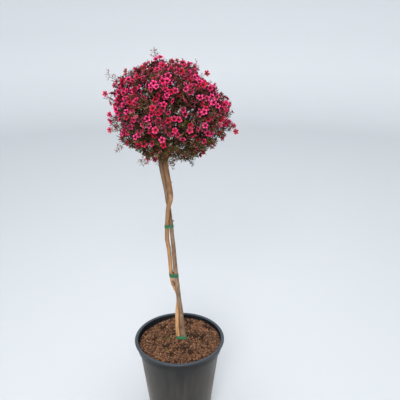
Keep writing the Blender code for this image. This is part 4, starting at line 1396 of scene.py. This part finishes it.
TWIG_COLOURS = {"twig_bark": (0.070, 0.038, 0.023)}
SHOOT_COLOURS = {"shoot_red": (0.110, 0.044, 0.030)}
LEAF_COLOURS = {
    "leaf_bronze": (0.080, 0.036, 0.021),
    "leaf_olive": (0.080, 0.056, 0.015),
    "leaf_green": (0.070, 0.075, 0.014),
    "leaf_purple": (0.110, 0.028, 0.034),
    # The darkest tone is painted shade, and the pale one a painted highlight
    "leaf_dark": (0.016, 0.008, 0.005),
    "leaf_new": (0.230, 0.088, 0.064),
    "leaf_pale": (0.215, 0.140, 0.072),
}
LEAF_PATTERN = np.array(((0, 2, 1), (0, 3, 2), (1, 2, 4), (2, 3, 4)))
ANY = (-9.0, 9.0)
# Which shoots take which tone, the later rows over the earlier: by chance, by height in the crown
# and by depth in it. The darkest tone is painted shade, most of all deep in the crown, and the pale
# one near the outside is a painted highlight
LEAF_TONES = (
    ("leaf_olive", (0.42, 1.0), ANY, ANY),
    ("leaf_green", (0.66, 1.0), (-9.0, 0.0), ANY),
    ("leaf_purple", (0.72, 1.0), (-0.3, 9.0), (0.70, 9.0)),
    ("leaf_dark", (-1.0, 0.24), ANY, ANY),
    ("leaf_dark", (-1.0, 0.80), ANY, (-9.0, 0.72)),
    ("leaf_dark", (-1.0, 0.45), ANY, (-9.0, 0.86)),
    ("leaf_pale", (0.87, 1.0), ANY, (0.80, 9.0)),
    ("leaf_new", (0.94, 1.0), ANY, (0.85, 9.0)),
)
LONG_SHOOT_NEW = 0.3


def leaf_corners(starts, ways, lengths, numbers):
    """Corners of narrow leaves folded along the rib, spiralling up the shoots, and their shoots."""
    steps = np.maximum((lengths / LEAF_SPACING).astype(int), LEAVES_AT_LEAST)
    shoot = np.repeat(np.arange(len(starts)), steps)
    step = np.concatenate([np.arange(count) for count in steps])
    share = (step + LEAF_OFFSET) / steps[shoot]
    roots = starts[shoot] + ways[shoot] * (lengths[shoot] * share)[:, None]
    side = unit(np.cross(ways[shoot], numbers.normal(size=3)))
    angle = (GOLDEN_ANGLE * step + shoot * LEAF_TURN)[:, None]
    side = side * np.cos(angle) + np.cross(ways[shoot], side) * np.sin(angle)
    sway = numbers.normal(0, LEAF_SWAY, side.shape)
    outward = (LEAF_OUTWARD[0] - LEAF_OUTWARD[1] * share)[:, None]
    along = unit(ways[shoot] * LEAF_FORWARD + side * outward + sway)
    broad = unit(np.cross(along, side + numbers.normal(0, LEAF_ROLL, side.shape)))
    high, low, longer = LOW_LEAVES
    growth = np.interp(roots[:, 2], (low, high), (longer, 1.0))
    length = (numbers.uniform(*LEAF_LENGTH, len(roots)) * growth)[:, None]
    wide = broad * length * (LEAF_SHARE / 2.0)
    face = np.cross(broad, along) * length
    belly = roots + along * length * LEAF_BELLY
    fold = face * (LEAF_SHARE * LEAF_FOLD)
    tips = roots + along * length + face * LEAF_TIP_RISE
    corners = np.stack((roots, belly + wide + fold, belly, belly - wide + fold, tips), axis=1)
    keep = ~in_gap(belly)
    return corners[keep], shoot[keep]


def make_leaves(starts, ways, lengths, stands_out):
    """All leaves, in pieces, each leaf in the tone of its shoot."""
    numbers = np.random.default_rng(LEAF_SEED)
    corners, shoot = leaf_corners(starts, ways, lengths, numbers)
    tone = leaf_tones(starts, stands_out, numbers)[shoot]
    colours = plain_paints(LEAF_COLOURS, 0.55)
    pieces = math.ceil(len(corners) / LEAVES_PER_PIECE)
    for number, part in enumerate(np.array_split(np.arange(len(corners)), pieces)):
        faces = (LEAF_PATTERN[None] + 5 * np.arange(len(part))[:, None, None]).reshape(-1, 3)
        piece = from_arrays("leaves", corners[part].reshape(-1, 3), faces.tolist(),
                            np.repeat(tone[part], len(LEAF_PATTERN)))
        nodes = FOLIAGE_NODES if number == 0 else ()
        finished(piece, "leaves_%d" % (number + 1), "foliage", colours, *nodes)


def leaf_tones(starts, stands_out, numbers):
    """A tone for each shoot: greener low in the crown, bronze and purple towards the outside,
    with painted shade inside it and painted highlights near its outside.
    """
    depth = depth_of(starts)
    height = (starts[:, 2] - CROWN_CENTRE[2]) / CROWN_REACH[2]
    chance = numbers.random(len(starts))
    names = list(LEAF_COLOURS)
    tone = np.zeros(len(starts), dtype=int)
    for name, *ranges in LEAF_TONES:
        fits = np.ones(len(starts), dtype=bool)
        for values, (low, high) in zip((chance, height, depth), ranges):
            fits &= (low < values) & (values < high)
        tone[fits] = names.index(name)
    tone[stands_out & (chance > LONG_SHOOT_NEW)] = names.index("leaf_new")
    return tone


# Blossom and buds

LIGHT_SIDE = np.array((0.0, -0.9, 0.3))
# Rows of a petal: distance from the middle, half width, rise, its midrib's dip and further reach,
# and its colour outwards
PETAL_ROWS = (
    (0.14, 0.09, 0.00, 0.00, 0.00, 1),
    (0.48, 0.32, 0.07, -0.05, 0.00, 2),
    (0.76, 0.40, 0.15, -0.05, 0.00, 3),
    (0.98, 0.20, 0.18, 0.00, 0.06, 3),
)
PETALS = 5
EYE_SIDES = 10
EYE_RADIUS = 0.33
EYE_RISE = 0.055
EYE_FLOOR = -0.02
STAMENS = 10
STAMEN_ROOT = 0.22
STAMEN_TIP = (0.34, 0.26)
STAMEN_HALF_WIDTH = 0.022
CUP_RADIUS = 0.26
CUP_FOOT = -0.34


def add_petal(heap, degrees):
    """One petal: three strips of two faces, dished along its middle, with a rounded end."""
    out = turned(degrees)
    beside = turned(degrees + 90.0)
    corners = []
    faces = []
    kinds = []
    for reach, half, rise, dip, bulge, kind in PETAL_ROWS:
        corners.append(out * reach - beside * half + upward(rise))
        corners.append(out * (reach + bulge) + upward(rise + dip))
        corners.append(out * reach + beside * half + upward(rise))
    for row in range(len(PETAL_ROWS) - 1):
        for corner in (row * 3, row * 3 + 1):
            faces.append((corner, corner + 3, corner + 4, corner + 1))
            kinds.append(PETAL_ROWS[row][-1])
    heap.add(corners, faces, kinds)


def blossom_pattern():
    """One open blossom of unit radius facing +Z: corners, faces and colour numbers."""
    heap = Heap()
    for petal in range(PETALS):
        add_petal(heap, 360.0 * petal / PETALS)
    eye = [way * EYE_RADIUS + upward(EYE_RISE) for way in around(EYE_SIDES)]
    dish = [(step, (step + 1) % EYE_SIDES, EYE_SIDES) for step in range(EYE_SIDES)]
    heap.add(eye + [upward(EYE_FLOOR)], dish, [0] * EYE_SIDES)
    for stamen in range(STAMENS):
        degrees = 360.0 * (stamen + 0.5) / STAMENS
        root = turned(degrees) * STAMEN_ROOT
        tip = turned(degrees) * STAMEN_TIP[0] + upward(STAMEN_TIP[1])
        beside = turned(degrees + 90.0) * STAMEN_HALF_WIDTH
        heap.add([root - beside, root + beside, tip + beside, tip - beside], [(0, 1, 2, 3)], [4])
    cup = [way * CUP_RADIUS + upward(EYE_FLOOR) for way in around(PETALS, 0.5)]
    sides = [((step + 1) % PETALS, step, PETALS) for step in range(PETALS)]
    heap.add(cup + [upward(CUP_FOOT)], sides, [5] * PETALS)
    return np.vstack(heap.corners), heap.faces, heap.kinds


def blossom_places(starts, ways, lengths, rng):
    """Where blossoms open: on shoots near the crown's outside, spaced apart, fewer low down."""
    ends = starts + ways * lengths[:, None]
    depth = depth_of(ends)
    outward = unit(ends - CROWN_CENTRE)
    chance = bloom_chance(outward)
    blocked = in_gap(ends)
    order = list(range(len(ends)))
    rng.shuffle(order)
    order.sort(key=lambda index: -depth[index] + rng.uniform(-BLOSSOM_STRAY, BLOSSOM_STRAY))
    flowering = [tip for tip, flowers in SHOOTS if flowers] + list(LOW_BLOSSOMS)
    chosen = [int(np.argmin(lengths_of(ends - tip))) for tip in flowering]
    for index in order:
        if len(chosen) >= BLOSSOM_COUNT:
            break
        if blocked[index] or not BLOSSOM_DEPTH < depth[index] < SHOOT_REACH:
            continue
        if rng.random() > chance[index]:
            continue
        if np.min(lengths_of(ends[chosen] - ends[index])) > BLOSSOM_ROOM:
            chosen.append(index)
    facing = []
    for index in chosen:
        tilt = np.array([rng.gauss(0.0, BLOSSOM_TILT) for axis in range(3)])
        facing.append(unit(outward[index] * BLOSSOM_OUTWARD + ways[index] * BLOSSOM_ALONG + tilt))
    for place in range(len(flowering)):
        facing[place] = unit(facing[place] * 0.5 + LIGHT_SIDE)
    return chosen, ends, facing


def bloom_chance(outward):
    """How likely shoots flower: in clusters, most on top, least low down in the middle."""
    x, z = outward[:, 0], outward[:, 2]
    barest, width, change = BLOOM_BARE
    either, right = BLOOM_BARE_SIDE
    middle = change * np.exp(-((x - barest) / width) ** 2)
    bare = middle + either * np.abs(x) + right * np.maximum(0.0, x)
    chance = BLOOM_BASE + BLOOM_RISE * z - np.maximum(0.0, -z) * bare
    share = clumps(outward, *BLOOM_CLUSTERS) * swells(outward, BLOOM_SWELLS)
    return chance.clip(*BLOOM_LIMITS) * share.clip(*BLOOM_SHARE_LIMITS)


BLOSSOM_COLOURS = {
    "eye_maroon": (0.010, 0.002, 0.004),
    "petal_base": (0.270, 0.005, 0.018),
    "stamen_red": (0.150, 0.008, 0.018),
    "cup_red": (0.130, 0.034, 0.020),
    "petal_pink": (0.580, 0.026, 0.125),
    "petal_pink_edge": (0.820, 0.088, 0.290),
    "petal_magenta": (0.490, 0.016, 0.080),
    "petal_magenta_edge": (0.670, 0.044, 0.175),
    "petal_crimson": (0.380, 0.008, 0.032),
    "petal_crimson_edge": (0.500, 0.020, 0.075),
}
BUD_COLOURS = {"bud_foot": (0.150, 0.075, 0.040), "bud_red": (0.420, 0.020, 0.070)}
# How many blossoms are pink, magenta and crimson, in general and low in the crown, where more are
# crimson as painted shade
TINT_SHARES = (0.40, 0.38, 0.22)
SHADED_LOW_TINT_SHARES = (0.20, 0.36, 0.44)
BUD = np.array(((0, 0, -1.3), (1, 0, 0), (0, 1, 0), (-1, 0, 0), (0, -1, 0), (0, 0, 1.5)))
BUD_SIDES = ((0, 2, 1), (0, 3, 2), (0, 4, 3), (0, 1, 4), (5, 1, 2), (5, 2, 3), (5, 3, 4), (5, 4, 1))


def make_blossoms(starts, ways, lengths, rng):
    """Every open blossom, in three tints, joined into one piece, and the buds into another."""
    corners, faces, kinds = blossom_pattern()
    chosen, ends, facing = blossom_places(starts, ways, lengths, rng)
    heap = Heap()
    for index, way in zip(chosen, facing):
        # Low in the crown more blossoms are crimson, as painted shade
        low = ends[index][2] < CROWN_CENTRE[2] - SHADED_BLOOM_DEPTH
        tint = rng.choices(range(3), SHADED_LOW_TINT_SHARES if low else TINT_SHARES)[0]
        slots = {0: 0, 1: 1, 2: 4 + 2 * tint, 3: 5 + 2 * tint, 4: 2, 5: 3}
        axes = random_axes(way, rng)
        size = rng.uniform(*BLOSSOM_RADIUS)
        local = corners * (size, size, size * rng.uniform(*BLOSSOM_FULLNESS))
        heap.add(ends[index] + local @ axes, faces, [slots[kind] for kind in kinds])
    finished(heap.piece("blossoms"), "blossoms", "blossom", plain_paints(BLOSSOM_COLOURS, 0.5))
    make_buds(set(chosen), ends, ways, rng)


def make_buds(flowering, ends, ways, rng):
    """Round buds on shoots that carry no blossom yet, red above a green-brown foot."""
    outside = np.flatnonzero((depth_of(ends) > BLOSSOM_DEPTH) & ~in_gap(ends)).tolist()
    heap = Heap()
    for index in rng.sample([index for index in outside if index not in flowering], BUD_COUNT):
        axes = random_axes(ways[index], rng)
        size = rng.uniform(*BUD_RADIUS)
        heap.add(ends[index] + BUD * size @ axes, BUD_SIDES, [0] * 4 + [1] * 4)
    finished(heap.piece("buds"), "buds", "blossom", plain_paints(BUD_COLOURS, 0.5))


def make_crown(bark, rng):
    """Boughs, twigs, leaves and blossom."""
    paths = bough_paths()
    make_boughs(paths, bark)
    wood = grow_twigs(paths, rng)
    starts, ways, lengths, stands_out = grow_shoots(wood, rng)
    finished(wood.piece("twigs", 4), "twigs", "grey_bark", plain_paints(TWIG_COLOURS, 0.85))
    fine = Wood()
    for start, way, length in zip(starts, ways, lengths):
        fine.add(np.stack((start, start + way * length)), *SHOOT_RADII)
    finished(fine.piece("shoots", 3), "fine_shoots", "grey_bark", plain_paints(SHOOT_COLOURS, 0.8))
    make_leaves(starts, ways, lengths, stands_out)
    make_blossoms(starts, ways, lengths, rng)


# Studio

# Floor that curves up into a wall all round: radius and height of its rings
COVE_RINGS = (
    (4.0, 0.0), (4.6, 0.06), (5.1, 0.22), (5.5, 0.50), (5.8, 0.90), (5.95, 1.40), (6.0, 2.00),
    (6.0, 4.40),
)
COVE_SEGMENTS = 128
SKY_COLOUR = (0.920, 0.960, 1.000, 1.0)
SKY_STRENGTH = 1.35
# Soft lamp in front, above the camera
LAMP_PLACE = (-0.3, -2.6, 2.0)
LAMP_AIM = (0.0, 0.0, 0.6)
LAMP_SIZE = 1.6
LAMP_POWER = 14.6
LAMP_SPREAD = 62.0


def make_studio():
    """A pale floor that curves up all round, an even sky, a soft lamp in front, and the camera."""
    floor = drawn_up(COVE_SEGMENTS, COVE_RINGS)
    floor.name = "floor"
    floor.data.shade_smooth()
    floor.data.materials.append(floor_paint())
    world = bpy.data.worlds.new("studio")
    bpy.context.scene.world = world
    world.use_nodes = True
    sky = world.node_tree.nodes["Background"]
    sky.inputs["Color"].default_value = SKY_COLOUR
    sky.inputs["Strength"].default_value = SKY_STRENGTH
    bpy.context.scene.view_settings.view_transform = "Standard"
    lamp = placed("key", bpy.data.lights.new("key", "AREA"))
    lamp.location = LAMP_PLACE
    lamp.data.size = LAMP_SIZE
    lamp.data.energy = LAMP_POWER
    lamp.data.spread = math.radians(LAMP_SPREAD)
    aim = Vector(LAMP_AIM) - lamp.location
    lamp.rotation_euler = aim.to_track_quat("-Z", "Y").to_euler()
    camera = placed("camera", bpy.data.cameras.new("camera"))
    camera.location = CAMERA_PLACE
    camera.rotation_euler = (math.radians(90.0 - CAMERA_PITCH), 0.0, math.radians(CAMERA_TURN))
    camera.data.lens = CAMERA_LENS
    camera.data.shift_y = CAMERA_SHIFT
    bpy.context.scene.camera = camera


rng = random.Random(GROWTH_SEED)
make_studio()
make_pot()
make_soil(rng)
barks = make_stems()
make_ties(rng)
make_crown(barks["grey"], rng)
